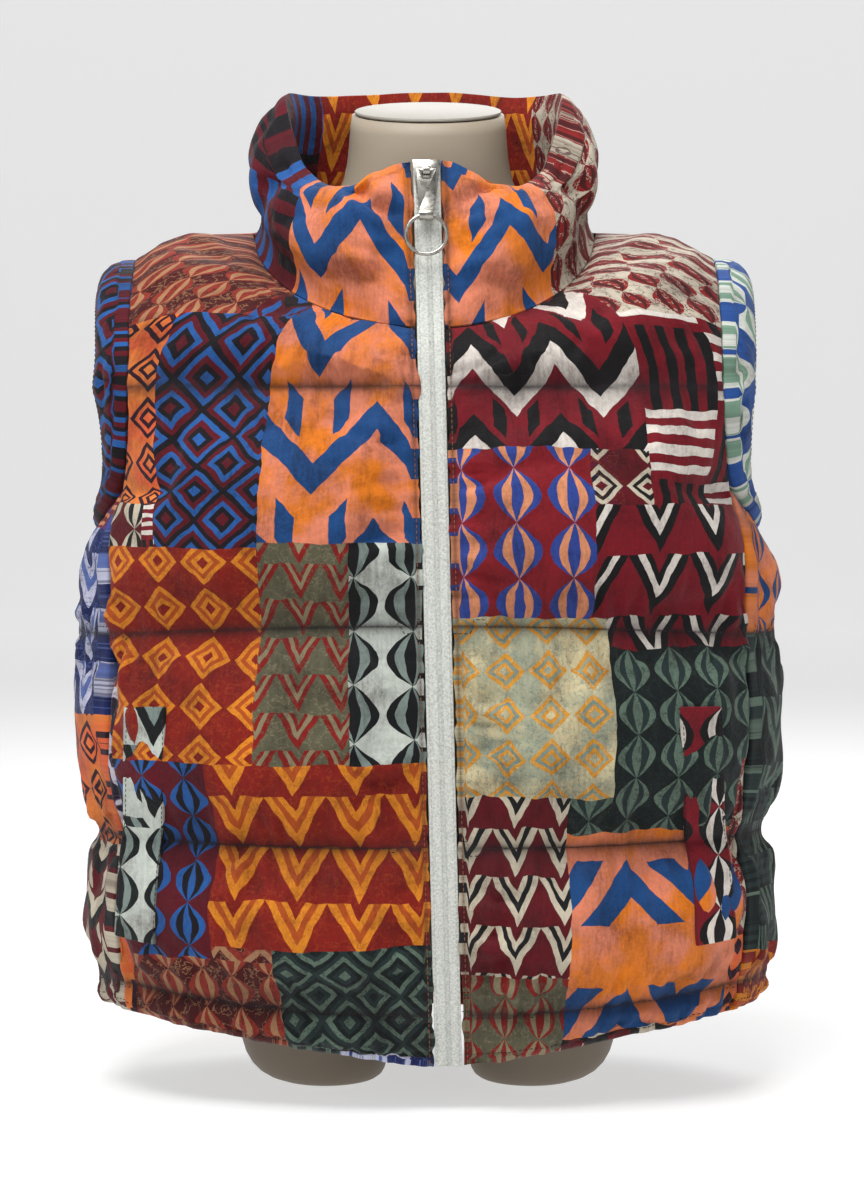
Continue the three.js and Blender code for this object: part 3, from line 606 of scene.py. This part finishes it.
def surface(pieces):
    points, faces = [], []
    for piece in pieces:
        start = len(points)
        points += [v.co.copy() for v in piece.data.vertices]
        faces += [[start + v for v in polygon.vertices] for polygon in piece.data.polygons]
    return bvhtree.BVHTree.FromPolygons(points, faces)


def looked_at(tree, origin, direction):
    hit, normal, _, _ = tree.ray_cast(Vector(origin), Vector(direction).normalized())
    return None if hit is None else (hit, normal if normal.dot(Vector(direction)) < 0 else -normal)


def even_steps(spots, pitch):
    """Spots at an even pitch along a line of (point, normal) pairs, each with its direction."""
    row, left = [], 0.0
    for (a, normal), (b, _) in zip(spots, spots[1:]):
        span = (b - a).length
        if span < 1e-6 or span > ROW_BREAK:
            left = 0.0
            continue
        at = left
        while at < span:
            row.append((a.lerp(b, at / span), normal, (b - a) / span))
            at += pitch
        left = at - span
    return row


# %% Repeat a bead along the rows
def bead(size):
    bpy.ops.object.select_all(action="DESELECT")
    bpy.ops.mesh.primitive_uv_sphere_add(segments=8, ring_count=4, radius=0.5)
    sphere = bpy.context.object
    sphere.scale = size
    bpy.ops.object.transform_apply(location=True, rotation=True, scale=True)
    points = points_of(sphere)
    faces = [tuple(polygon.vertices) for polygon in sphere.data.polygons]
    bpy.data.objects.remove(sphere)
    return points, faces


def beads(name, rows, size, pitch, sink=0.3):
    """One mesh with a bead at every step of every row. size is along, across and proud of it."""
    points, faces = bead(size)
    places, corners = [], []
    for row in rows:
        for spot, normal, along in even_steps(row, pitch):
            across = normal.cross(along).normalized()
            centre = spot + normal * size[2] * (0.5 - sink)
            turn = np.array([along, across, normal])
            start = len(places) * len(points)
            places.append(points @ turn + np.array(centre))
            corners += [tuple(start + v for v in face) for face in faces]
    mesh = bpy.data.meshes.new(name)
    mesh.from_pydata(np.concatenate(places).tolist(), [], corners)
    piece = bpy.data.objects.new(name, mesh)
    bpy.context.scene.collection.objects.link(piece)
    pick_only(piece)
    bpy.ops.object.shade_smooth()
    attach(piece, "vest")
    print(name, len(places), "beads,", len(corners), "faces")
    return piece


# %% Rows of stitches
STITCH = (3.0 * MM, 0.7 * MM, 0.6 * MM)
STITCH_PITCH = 4.0 * MM
ROW_STEP = 2.5 * MM
SEAM_SEARCH = 5 * MM
SEARCH_STEPS = 5
HEM = (32, 64, 1.35)
HEM_INSET = 7 * MM
FACING_ROW = 13.4 * MM
TAPE_ROW = 7.6 * MM
ZIP_RUN = (36 * MM, 655 * MM)
WELT_EDGE = 2.4 * MM
WELT_END = 8 * MM
OPENING = {"middle": 512 * MM, "rise": 74 * MM, "drop": 78 * MM, "depth": 72 * MM}
BAND_INSET = 6 * MM

body = surface([padding[name] for name in QUILTED])
whole = surface([*padding.values()])
tape_face = surface(tapes)
welt_face = surface(welts)


def found(hits):
    return [hit for hit in hits if hit]


def row_round(seam, lift=0.0, search=0.0):
    """A row round the body at a seam's height. Within the search, the deepest spot is taken."""
    row = []
    for turn in np.arange(0, 2 * math.pi, ROW_STEP / BODY_HALF_WIDTH):
        out = Vector((math.sin(turn), -math.cos(turn), 0))
        plan = (abs(out.x) / BODY_HALF_WIDTH) ** BODY_ROUNDNESS
        plan += (abs(out.y) / BODY_DEPTH) ** BODY_ROUNDNESS
        level = seam_level(seam, out.x * plan ** (-1 / BODY_ROUNDNESS)) + lift
        best = None
        for shift in np.linspace(-search, search, SEARCH_STEPS if search else 1):
            middle = Vector((VEST_X, 0, level + shift))
            hit = looked_at(body, middle + out * FAR, -out)
            if hit and (best is None or (hit[0] - middle).length < best[2]):
                best = (*hit, (hit[0] - middle).length)
        row.append(best and best[:2])
    return found(row)


def row_up(tree, offset, low, high):
    levels = np.arange(low, high, ROW_STEP)
    return found([looked_at(tree, (zip_middle(z) + offset, -FAR, z), (0, 1, 0)) for z in levels])


def row_on_welt(piece, side):
    points = points_of(piece)
    row = []
    for z in np.arange(points[:, 2].min() + WELT_END, points[:, 2].max() - WELT_END, ROW_STEP):
        across = points[np.abs(points[:, 2] - z) < WELT_END, 0]
        edge = across.min() + WELT_EDGE if side < 0 else across.max() - WELT_EDGE
        row.append(looked_at(welt_face, (edge, -FAR, z), (0, 1, 0)))
    return found(row)


def row_on_band(side):
    row = []
    for turn in np.arange(0, 2 * math.pi, ROW_STEP / OPENING["depth"]):
        rise = (OPENING["rise"] if math.sin(turn) > 0 else OPENING["drop"]) + BAND_INSET
        y = -(OPENING["depth"] + BAND_INSET) * math.cos(turn)
        z = OPENING["middle"] + rise * math.sin(turn)
        row.append(looked_at(whole, (VEST_X + side * FAR, y, z), (-side, 0, 0)))
    return found(row)


# The highest seam gets no row of its own, because the armholes interrupt it
quilt_rows = [row_round(seam, search=SEAM_SEARCH) for seam in QUILT_SEAMS[:3]]
edge_rows = [row_round(HEM, lift=HEM_INSET)]
edge_rows += [row_on_band(side) for side in (-1, 1)]
edge_rows += [row_on_welt(piece, side) for piece in welts for side in (-1, 1)]
quilt_thread = beads("quilt_stitches", quilt_rows, STITCH, STITCH_PITCH)
edge_thread = beads("edge_stitches", edge_rows, STITCH, STITCH_PITCH)
facing_rows = [row_up(whole, side * FACING_ROW, *ZIP_RUN) for side in (-1, 1)]
facing_thread = beads("facing_stitches", facing_rows, STITCH, STITCH_PITCH)
tape_rows = [row_up(tape_face, side * TAPE_ROW, *ZIP_RUN) for side in (-1, 1)]
tape_thread = beads("tape_stitches", tape_rows, STITCH, STITCH_PITCH)

# %% Chain of the closed zip
CHAIN_RIB = (1.3 * MM, 3.6 * MM, 0.5 * MM)
CHAIN_PITCH = 1.25 * MM
# The chain is found beside the middle, where the tapes' faces are whole
CHAIN_OFFSET = 0.5 * MM
chain_rows = [row_up(tape_face, CHAIN_OFFSET, *ZIP_RUN)]
chain = beads("zip_chain", chain_rows, CHAIN_RIB, CHAIN_PITCH)

# %% [markdown]
# ## Node arithmetic
# A pattern is a formula. One small class wraps a socket, so that Python's own operators add the
# Math nodes, and one method makes every other node.


# %% Values and finishes
class Value:
    """An output socket that can be used in a formula."""

    def __init__(self, finish, socket):
        self.finish = finish
        self.socket = socket

    def math(self, operation, *others):
        return self.finish.node("ShaderNodeMath", {"operation": operation}, self, *others)

    def __add__(self, other):
        return self.math("ADD", other)

    __radd__ = __add__

    def __sub__(self, other):
        return self.math("SUBTRACT", other)

    def __rsub__(self, other):
        return self.finish.node("ShaderNodeMath", {"operation": "SUBTRACT"}, other, self)

    def __mul__(self, other):
        return self.math("MULTIPLY", other)

    __rmul__ = __mul__

    def __truediv__(self, other):
        return self.math("DIVIDE", other)

    def __lt__(self, other):
        return self.math("LESS_THAN", other)

    def __gt__(self, other):
        return self.math("GREATER_THAN", other)

    def fraction(self):
        return self.math("FRACT")

    def floor(self):
        return self.math("FLOOR")

    def size(self):
        return self.math("ABSOLUTE")

    def wave(self):
        return self.math("SINE")

    def near(self, middle, reach):
        return self.math("COMPARE", middle, reach)

    def parts(self):
        split = self.finish.tree.nodes.new("ShaderNodeSeparateXYZ")
        self.finish.tree.links.new(self.socket, split.inputs[0])
        return [Value(self.finish, output) for output in split.outputs]


def linear(colour):
    """A screen colour as the shader wants it."""
    return [((c + 0.055) / 1.055) ** 2.4 if c > 0.04045 else c / 12.92 for c in colour] + [1]


def grey(value):
    return value, value, value, 1


class Finish:
    """A material with one Principled shader, whose uniform values are set on its own sockets."""

    def __init__(self, name, **uniform):
        self.material = bpy.data.materials.new(name)
        self.material.use_nodes = True
        self.tree = self.material.node_tree
        self.shader = self.tree.nodes["Principled BSDF"]
        for socket, value in uniform.items():
            self.shader.inputs[socket.replace("_", " ")].default_value = value

    def node(self, kind, settings=None, *inputs, output=0, **named):
        made = self.tree.nodes.new(kind)
        for key, value in (settings or {}).items():
            setattr(made, key, value)
        for place, value in [*enumerate(inputs), *named.items()]:
            socket = made.inputs[place]
            if isinstance(value, Value):
                self.tree.links.new(value.socket, socket)
            else:
                socket.default_value = value
        return Value(self, made.outputs[output])

    def mix(self, share, first, second, blend="MIX"):
        made = self.tree.nodes.new("ShaderNodeMix")
        made.data_type = "RGBA"
        made.blend_type = blend
        for place, value in ((0, share), (6, first), (7, second)):
            if isinstance(value, Value):
                self.tree.links.new(value.socket, made.inputs[place])
            else:
                made.inputs[place].default_value = value
        return Value(self, made.outputs[2])

    def ramp(self, share, stops, interpolation="CONSTANT"):
        made = self.tree.nodes.new("ShaderNodeValToRGB")
        made.color_ramp.interpolation = interpolation
        elements = made.color_ramp.elements
        while len(elements) < len(stops):
            elements.new(0.5)
        for element, (position, colour) in zip(elements, stops):
            element.position = position
            element.color = colour
        self.tree.links.new(share.socket, made.inputs[0])
        return Value(self, made.outputs[0])

    def vector(self, x, y, z=0.0):
        return self.node("ShaderNodeCombineXYZ", None, x, y, z)

    def noise(self, vector, scale, detail=2.0, rough=0.5, output=0):
        return self.node("ShaderNodeTexNoise", {"noise_dimensions": "3D"}, Vector=vector,
                         Scale=scale, Detail=detail, Roughness=rough, output=output)

    def chance(self, vector, output=0):
        return self.node("ShaderNodeTexWhiteNoise", {"noise_dimensions": "2D"},
                         Vector=vector, output=output)

    def object_place(self):
        return self.node("ShaderNodeTexCoord", output=3)

    def feed(self, socket, value):
        self.tree.links.new(value.socket, self.shader.inputs[socket])

    def bump(self, *layers):
        """Each layer is a height and the distance in metres that it stands for."""
        normal = None
        for height, distance in layers:
            made = self.tree.nodes.new("ShaderNodeBump")
            made.inputs["Distance"].default_value = distance
            self.tree.links.new(height.socket, made.inputs["Height"])
            if normal:
                self.tree.links.new(normal, made.inputs["Normal"])
            normal = made.outputs[0]
        self.tree.links.new(normal, self.shader.inputs["Normal"])


# %% [markdown]
# ## The print
# The cloth is printed as a patchwork: blocks of different motifs, each in three colours of its own.
# A block is chosen by the place on the cloth, from a list of blocks, and by chance where the list
# has none. Each motif is a formula that gives 0, a half or 1, for its ground, its second colour
# and its figure. All are traditional patchwork and wax-print figures.

# %% Colours of the print
# Columns: ground, second colour, figure
PALETTES = [
    [(0.54, 0.11, 0.07), (0.72, 0.32, 0.11), (0.90, 0.55, 0.14)],
    [(0.36, 0.05, 0.11), (0.08, 0.06, 0.09), (0.15, 0.36, 0.64)],
    [(0.48, 0.06, 0.12), (0.90, 0.87, 0.84), (0.07, 0.06, 0.07)],
    [(0.30, 0.07, 0.07), (0.68, 0.50, 0.36), (0.58, 0.20, 0.15)],
    [(0.38, 0.06, 0.10), (0.10, 0.10, 0.11), (0.82, 0.78, 0.70)],
    [(0.38, 0.37, 0.29), (0.56, 0.52, 0.41), (0.54, 0.11, 0.09)],
    [(0.06, 0.10, 0.10), (0.14, 0.20, 0.20), (0.38, 0.46, 0.41)],
    [(0.10, 0.15, 0.37), (0.36, 0.44, 0.70), (0.78, 0.79, 0.89)],
    [(0.12, 0.09, 0.15), (0.42, 0.33, 0.48), (0.80, 0.78, 0.83)],
    [(0.92, 0.52, 0.24), (0.88, 0.36, 0.22), (0.18, 0.06, 0.13)],
    [(0.52, 0.09, 0.13), (0.88, 0.58, 0.42), (0.19, 0.28, 0.60)],
    [(0.92, 0.50, 0.11), (0.90, 0.54, 0.43), (0.10, 0.29, 0.52)],
    [(0.85, 0.80, 0.64), (0.34, 0.50, 0.50), (0.86, 0.60, 0.20)],
    [(0.80, 0.76, 0.69), (0.32, 0.10, 0.11), (0.56, 0.13, 0.13)],
    [(0.16, 0.32, 0.60), (0.50, 0.64, 0.56), (0.85, 0.87, 0.84)],
    [(0.80, 0.83, 0.80), (0.52, 0.58, 0.56), (0.07, 0.08, 0.09)],
]
BRICK, PLUM, CHERRY, RUST, WINE, OLIVE, PINE, NAVY = range(8)
VIOLET, CORAL, ROSE, AMBER, HONEY, CREAM, SKY, FOG = range(8, 16)
# How strongly fine veins run through a palette's ground, where they do
VEINS = {
    RUST: 0.6, OLIVE: 0.5, PINE: 0.5, NAVY: 0.6, VIOLET: 0.6, HONEY: 0.45, CREAM: 0.7, BRICK: 0.3,
}
# How softly the ground and the second colour run into each other, as wet dye does
SOFT = {AMBER: 0.9, CORAL: 0.8, HONEY: 0.5}
CHEVRON, DIAMOND, GEESE, LEAF, EYE, BASKET, BLOB, ZIGZAG = range(8)

# %% Blocks of the print
# Columns: left, right, bottom, top on the cloth in mm, palette, motif, size of the motif in mm
BLOCKS = [
    (-330, -150, 560, 800, RUST, LEAF, 22),
    (-150, -40, 560, 800, PLUM, CHEVRON, 44),
    (-330, -190, 430, 560, CORAL, EYE, 30),
    (-190, -118, 400, 560, PLUM, DIAMOND, 40),
    (-118, 0, 404, 612, AMBER, CHEVRON, 84),
    (-330, -236, 300, 430, OLIVE, LEAF, 28),
    (-236, -118, 250, 400, BRICK, EYE, 34),
    (-118, -60, 250, 404, OLIVE, GEESE, 26),
    (-60, 0, 250, 404, FOG, LEAF, 38),
    (-330, -222, 150, 300, VIOLET, BLOB, 14),
    (-222, -150, 110, 250, PLUM, LEAF, 30),
    (-150, 0, 120, 250, BRICK, GEESE, 38),
    (-330, -222, 0, 150, CORAL, BASKET, 44),
    (-222, -110, 0, 110, RUST, LEAF, 25),
    (-110, 0, 40, 120, PINE, DIAMOND, 34),
    (-110, 0, 0, 40, NAVY, BLOB, 10),
    (0, 150, 470, 700, CHERRY, CHEVRON, 62),
    (150, 330, 560, 800, CREAM, LEAF, 20),
    (150, 240, 430, 560, CHERRY, BASKET, 50),
    (240, 330, 400, 560, SKY, EYE, 24),
    (0, 110, 352, 470, ROSE, LEAF, 38),
    (110, 240, 330, 430, CHERRY, GEESE, 44),
    (240, 330, 250, 400, ROSE, BLOB, 26),
    (0, 120, 226, 352, HONEY, EYE, 30),
    (120, 240, 200, 330, PINE, LEAF, 30),
    (0, 90, 100, 226, WINE, GEESE, 34),
    (90, 220, 56, 200, AMBER, ZIGZAG, 90),
    (220, 330, 120, 250, CREAM, LEAF, 26),
    (220, 330, 0, 120, CORAL, DIAMOND, 56),
    (0, 90, 0, 100, OLIVE, LEAF, 28),
    (90, 220, 0, 56, WINE, CHEVRON, 40),
    (4262, 4370, -40, 260, AMBER, CHEVRON, 70),
    (3630, 3748, -40, 260, AMBER, CHEVRON, 76),
    (1985, 2100, 220, 400, HONEY, EYE, 30),
    (3748, 3880, -40, 260, PLUM, BASKET, 58),
    (4120, 4262, -40, 260, CREAM, LEAF, 22),
    (3880, 4120, -40, 260, BRICK, GEESE, 44),
    (5700, 6300, 0, 800, PLUM, DIAMOND, 40),
    (7700, 8300, 0, 800, SKY, LEAF, 30),
    (9700, 10000, 0, 200, FOG, LEAF, 34),
    (9700, 10000, 200, 400, FOG, GEESE, 52),
    (10000, 10300, 0, 400, CHERRY, LEAF, 36),
]
# Patches that are left to chance come in pairs, which are split at 35 to 65 % of their size
PAIR_WIDTH = 0.20
PAIR_HEIGHT = 0.23
SPLIT_FROM = 0.35
SPLIT_RANGE = 0.3
# They use only the first, darker palettes and the first six motifs
PATCH_PALETTES = 12.0
PATCH_MOTIFS = 6.0
SMALL_MOTIF = 0.02
MOTIF_RANGE = 0.03
# The print's edges wander by half of this to either side
WOBBLE = 6 * MM


def motif_tones(u, v, size, spots):
    """Every motif in turn: 0 for its ground, a half for its second colour, 1 for its figure."""
    column, row = u / size, v / size
    fu, fv = column.fraction(), row.fraction()
    cu, cv = (fu - 0.5).size(), (fv - 0.5).size()
    band = (row + cu * 1.1).fraction()
    bar = cu.near(0.3, 0.07) * (band < 0.42) * (band > 0.1)
    chevron = (band > 0.5) * 0.5 + (band > 0.74) * 0.5
    ring = cu + cv
    diamond = ((ring * 3.0).fraction() * 3.0).floor() / 2.0
    goose = fv - cu * 2.0
    geese = (goose > 0) * 1.0 - (goose > 0.28) * 0.5 + (goose > 0.5) * 0.5 - (goose > 0.7) * 1.0
    vein = (fv * math.pi).wave()
    leaf = (cu * 2.3 < vein) * 1.0 - (cu * 3.6 < vein) * 0.5 + (cu * 9.0 < vein) * 0.5
    eye = (ring < 0.46) * 1.0 - (ring < 0.34) * 0.5 + (ring < 0.23) * 0.5 - (ring < 0.12) * 1.0
    odd = ((column.floor() + row.floor()) * 0.5).fraction() > 0.25
    upright = (column * 4.0).fraction() > 0.5
    level = (row * 4.0).fraction() > 0.5
    basket = (upright * odd + level * (1 - odd)) * (odd * 0.5 + 0.5)
    blob = (spots > 0.47) * 0.5 + (spots > 0.485) * 0.5
    zigzag = ((row * 2.0 + cu * 2.4).fraction() > 0.45) * (0.5 + 0.5 * (fv - 0.5 > 0))
    return [chevron + bar, diamond, geese, leaf, eye, basket, blob, zigzag]


def patchwork():
    finish = Finish("patchwork_cotton", Sheen_Weight=0.08, Sheen_Roughness=0.5,
                    Specular_IOR_Level=0.16)
    place = finish.node("ShaderNodeAttribute", {"attribute_name": "print_place"}, output=1)
    wobble = finish.noise(place, 45.0, output=1)
    shaken = finish.node("ShaderNodeVectorMath", {"operation": "MULTIPLY_ADD"}, wobble,
                         (WOBBLE, WOBBLE, 0.0), place)
    u, v, key = shaken.parts()
    u, v = u - WOBBLE / 2, v - WOBBLE / 2
    pair = (u / PAIR_WIDTH).floor()
    split = finish.chance(finish.vector(pair, key)) * SPLIT_RANGE + SPLIT_FROM
    column = pair * 2.0 + ((u / PAIR_WIDTH).fraction() > split)
    lift = finish.chance(finish.vector(column, 3.0))
    level = v / PAIR_HEIGHT + lift
    step = level.floor() * 2.0 + (level.fraction() > lift * SPLIT_RANGE + SPLIT_FROM)
    palette, motif, size = finish.chance(finish.vector(column, step), output=1).parts()
    chosen = finish.vector((palette * PATCH_PALETTES).floor(), (motif * PATCH_MOTIFS).floor(),
                           size * MOTIF_RANGE + SMALL_MOTIF)
    for left, end, bottom, top, palette, motif, size in BLOCKS:
        inside = (u.near((left + end) / 2 * MM, (end - left) / 2 * MM)
                  * v.near((bottom + top) / 2 * MM, (top - bottom) / 2 * MM))
        chosen = finish.mix(inside, chosen, (palette, motif, size * MM, 1))
    palette, motif, size = chosen.parts()
    spots = finish.node("ShaderNodeTexNoise", {"noise_dimensions": "3D"},
                        Vector=finish.vector(u / size, v / size, palette), Scale=0.9, Detail=1.0)
    figure = 0.0
    for number, tone in enumerate(motif_tones(u, v, size, spots)):
        figure = tone * motif.near(float(number), 0.4) + figure

    count = len(PALETTES)
    share = (palette + 0.5) / float(count)

    def by_palette(colours):
        return finish.ramp(share, [(i / count, colour) for i, colour in enumerate(colours)])

    layers = [by_palette([linear(row[layer]) for row in PALETTES]) for layer in range(3)]
    blot = finish.noise(place, 26.0, 3.0, 0.55)
    spread = finish.ramp(blot, [(0.42, grey(0)), (0.56, grey(1))], "LINEAR")
    soft = by_palette([grey(SOFT.get(i, 0)) for i in range(count)])
    ground = finish.mix(spread * soft, layers[0], layers[1])
    colour = finish.mix((figure > 0.25) * (1 - soft), ground, layers[1])
    colour = finish.mix(figure > 0.75, colour, layers[2])
    branches = finish.noise(place, 95.0, 3.0, 0.65)
    veins = by_palette([grey(VEINS.get(i, 0)) for i in range(count)])
    vein_colour = finish.mix(figure > 0.75, layers[1], layers[0])
    colour = finish.mix(branches.near(0.5, 0.014) * veins, colour, vein_colour)
    cloudy = finish.noise(place, 28.0, 4.0, 0.6)
    worn = finish.noise(place, 420.0, 3.0, 0.7)
    strokes = finish.noise(finish.vector(u * 420.0, v * 70.0, palette), 1.0, 3.0, 0.7)
    shade = finish.ramp(cloudy * 0.55 + worn * 0.2 + strokes * 0.25, [
        (0.36, (0.36, 0.33, 0.32, 1)),
        (0.5, (0.76, 0.75, 0.74, 1)),
        (0.62, (0.98, 0.97, 0.94, 1)),
    ], "LINEAR")
    # Painted shade: beside the seams and in the groove the print is mixed towards near black
    painted_crease_shade = finish.node("ShaderNodeAttribute", {"attribute_name": "painted_crease_shade"}, output=2)
    colour = finish.mix(1.0, colour, shade, "MULTIPLY")
    finish.feed("Base Color", finish.mix(painted_crease_shade * 0.9, colour, (0.012, 0.01, 0.012, 1)))
    finish.feed("Roughness", cloudy * 0.2 + 0.62)
    threads = (u * 7000.0).wave() * (v * 7000.0).wave()
    crumple = finish.noise(place, 110.0, 4.0, 0.6)
    finish.bump((crumple, 1.6 * MM), (threads, 0.05 * MM))
    return finish.material


cotton = patchwork()
for piece in [*padding.values(), *welts]:
    piece.data.materials.append(cotton)
print("nodes in the print:", len(cotton.node_tree.nodes))


# %% [markdown]
# ## Zip tape, metal and form
# The tape is a fine twill in silver-grey. The pull is polished metal with faint smudges. The form
# has a matt, slightly grained skin, with painted shade that darkens it low down.

# %% Plain finishes
LOW_SHADE_HEIGHT = 300 * MM
TWILL = 4200.0


def zip_tape():
    finish = Finish("zip_tape_cloth", Sheen_Weight=0.2)
    x, _, z = finish.object_place().parts()
    twill = ((x + z) * TWILL).wave() * ((x - z) * TWILL).wave()
    spread = finish.noise(finish.object_place(), 700.0, 3.0, 0.7)
    colour = finish.ramp(spread, [
        (0.36, linear((0.70, 0.71, 0.69))),
        (0.5, linear((0.80, 0.81, 0.78))),
        (0.62, linear((0.86, 0.87, 0.84))),
    ], "LINEAR")
    finish.feed("Base Color", colour)
    finish.feed("Roughness", spread * 0.3 + 0.4)
    finish.bump((twill, 0.1 * MM), (spread, 0.1 * MM))
    return finish.material


def pull_metal():
    finish = Finish("zip_metal", Metallic=1.0)
    smudge = finish.noise(finish.object_place(), 260.0, 3.0)
    colour = finish.mix(smudge, linear((0.48, 0.46, 0.43)), linear((0.80, 0.79, 0.76)))
    finish.feed("Base Color", colour)
    finish.feed("Roughness", smudge * 0.2 + 0.18)
    finish.bump((smudge, 0.05 * MM))
    return finish.material


def form_skin(name, dark, light, rough):
    finish = Finish(name)
    cloudy = finish.noise(finish.object_place(), 9.0, 3.0)
    grain = finish.noise(finish.object_place(), 1500.0, 2.0)
    skin = finish.mix(cloudy, linear(dark), linear(light))
    # Painted shade: the skin turns darker towards the floor, where the form's lower parts lie in
    # shadow
    low = finish.object_place().parts()[2] / LOW_SHADE_HEIGHT
    painted_low_shade = finish.ramp(low, [(0.2, (0.5, 0.48, 0.45, 1)), (1.0, grey(1))], "LINEAR")
    finish.feed("Base Color", finish.mix(1.0, skin, painted_low_shade, "MULTIPLY"))
    finish.feed("Roughness", grain * 0.12 + rough)
    finish.bump((grain, 0.12 * MM))
    return finish.material


def wear(material, *pieces):
    for piece in pieces:
        piece.data.materials.append(material)


def thread(name, colour):
    finish = Finish(name, Roughness=0.7)
    twist = finish.noise(finish.object_place(), 1800.0, 1.0)
    finish.feed("Base Color", finish.mix(twist, linear([c * 0.7 for c in colour]), linear(colour)))
    return finish.material


wear(zip_tape(), *tapes, chain)
wear(thread("dark_thread", (0.16, 0.07, 0.08)), quilt_thread, edge_thread)
wear(thread("facing_thread", (0.62, 0.36, 0.18)), facing_thread)
wear(thread("grey_thread", (0.82, 0.83, 0.80)), tape_thread)
wear(pull_metal(), slider, tab, ring)
wear(form_skin("form_skin", (0.58, 0.53, 0.46), (0.66, 0.61, 0.54), 0.5), form)
wear(form_skin("form_plate", (0.52, 0.50, 0.46), (0.57, 0.55, 0.51), 0.5), plate)

# %% [markdown]
# ## Camera, floor and light
# The photograph was taken level with the vest's middle from a little over two metres, looking
# slightly down. The light is soft and comes from the front.

# %% Camera
CAMERA_DISTANCE = 2.2
CAMERA_HEIGHT = 0.4422
LOOK_DOWN = math.radians(2)
# Focal length by the picture's height, both in pixels
FOCAL_SHARE = 2933 / 1184
camera_data = bpy.data.cameras.new("camera")
camera_data.lens = FOCAL_SHARE * camera_data.sensor_width
camera = bpy.data.objects.new("camera", camera_data)
camera.location = (VEST_X, -CAMERA_DISTANCE, CAMERA_HEIGHT)
camera.rotation_euler = (math.pi / 2 - LOOK_DOWN, 0, 0)
bpy.context.scene.collection.objects.link(camera)
bpy.context.scene.camera = camera

# %% Floor and backdrop
# The floor is a wide round sheet that curves up all round, as paper in a studio does
FLOOR_RADIUS = 7.0
CURVE_RADIUS = 2.5
CURVE_STEPS = 12
WALL_TOP = 7.0
bpy.ops.mesh.primitive_circle_add(vertices=96, radius=FLOOR_RADIUS, fill_type="NGON",
                                  location=(0, 0, 0))
backdrop = bpy.context.object
backdrop.name = "floor"
pick_only(backdrop)
bpy.ops.object.mode_set(mode="EDIT")
bpy.ops.mesh.select_all(action="SELECT")
bpy.ops.mesh.region_to_loop()
reach, height = FLOOR_RADIUS, 0.0
for step in range(1, CURVE_STEPS + 1):
    turn = math.pi / 2 * step / CURVE_STEPS
    next_reach = FLOOR_RADIUS + CURVE_RADIUS * math.sin(turn)
    next_height = CURVE_RADIUS * (1 - math.cos(turn))
    grow = next_reach / reach
    rise = (0, 0, next_height - height)
    bpy.ops.mesh.extrude_region_move(TRANSFORM_OT_translate={"value": rise})
    bpy.ops.transform.resize(value=(grow, grow, 1), center_override=(0, 0, 0))
    reach, height = next_reach, next_height
bpy.ops.mesh.extrude_region_move(TRANSFORM_OT_translate={"value": (0, 0, WALL_TOP - height)})
bpy.ops.object.mode_set(mode="OBJECT")
bpy.ops.object.shade_smooth()
backdrop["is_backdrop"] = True
paper = Finish("studio_paper", Base_Color=grey(0.5), Roughness=0.9, Emission_Strength=0.55)
x, y, _ = paper.object_place().parts()
# The paper glows behind the vest and less beside and before it, so that the sides turn darker
glow = (x.size() + (y * -1.0).math("MAXIMUM", 0.0)) / FLOOR_RADIUS
paper.feed("Emission Color", paper.ramp(glow, [(0.25, grey(1)), (0.6, grey(0.4))], "LINEAR"))
backdrop.data.materials.append(paper.material)
print("backdrop:", [round(v, 1) for v in backdrop.dimensions], "m")

# %% Lights
# Columns: place, width, power
LIGHTS = [
    ((-0.35, -0.95, 2.5), 1.3, 62),
    ((-2.4, -1.9, 1.4), 1.6, 9),
    ((2.5, -1.8, 1.0), 1.6, 6),
    ((0.3, 2.2, 2.4), 1.6, 45),
]
LIT_SPOT = Vector((0, 0, 0.4))
WORLD_STRENGTH = 0.2
for number, (place, width, power) in enumerate(LIGHTS):
    lamp = bpy.data.lights.new(f"soft_box_{number}", "AREA")
    lamp.shape = "SQUARE"
    lamp.size = width
    lamp.energy = power
    holder = bpy.data.objects.new(lamp.name, lamp)
    holder.location = place
    holder.rotation_euler = (LIT_SPOT - Vector(place)).to_track_quat("-Z", "Y").to_euler()
    bpy.context.scene.collection.objects.link(holder)

world = bpy.data.worlds.new("studio")
world.use_nodes = True
background = world.node_tree.nodes["Background"]
background.inputs["Color"].default_value = grey(1)
background.inputs["Strength"].default_value = WORLD_STRENGTH
bpy.context.scene.world = world
bpy.context.scene.view_settings.view_transform = "Standard"

# %% [markdown]
# ## Size and finish
# Both boxes, the frame's and the dressed model's, are printed. The dressed model has to
# stay within the frame's box.

# %% Write the boxes and finish
size = {"cad": [list(corner) for corner in cad_box], "visual": [list(c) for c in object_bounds()]}
for label, (low, high) in size.items():
    print(label, [round((b - a) * 1000, 1) for a, b in zip(low, high)], "mm")
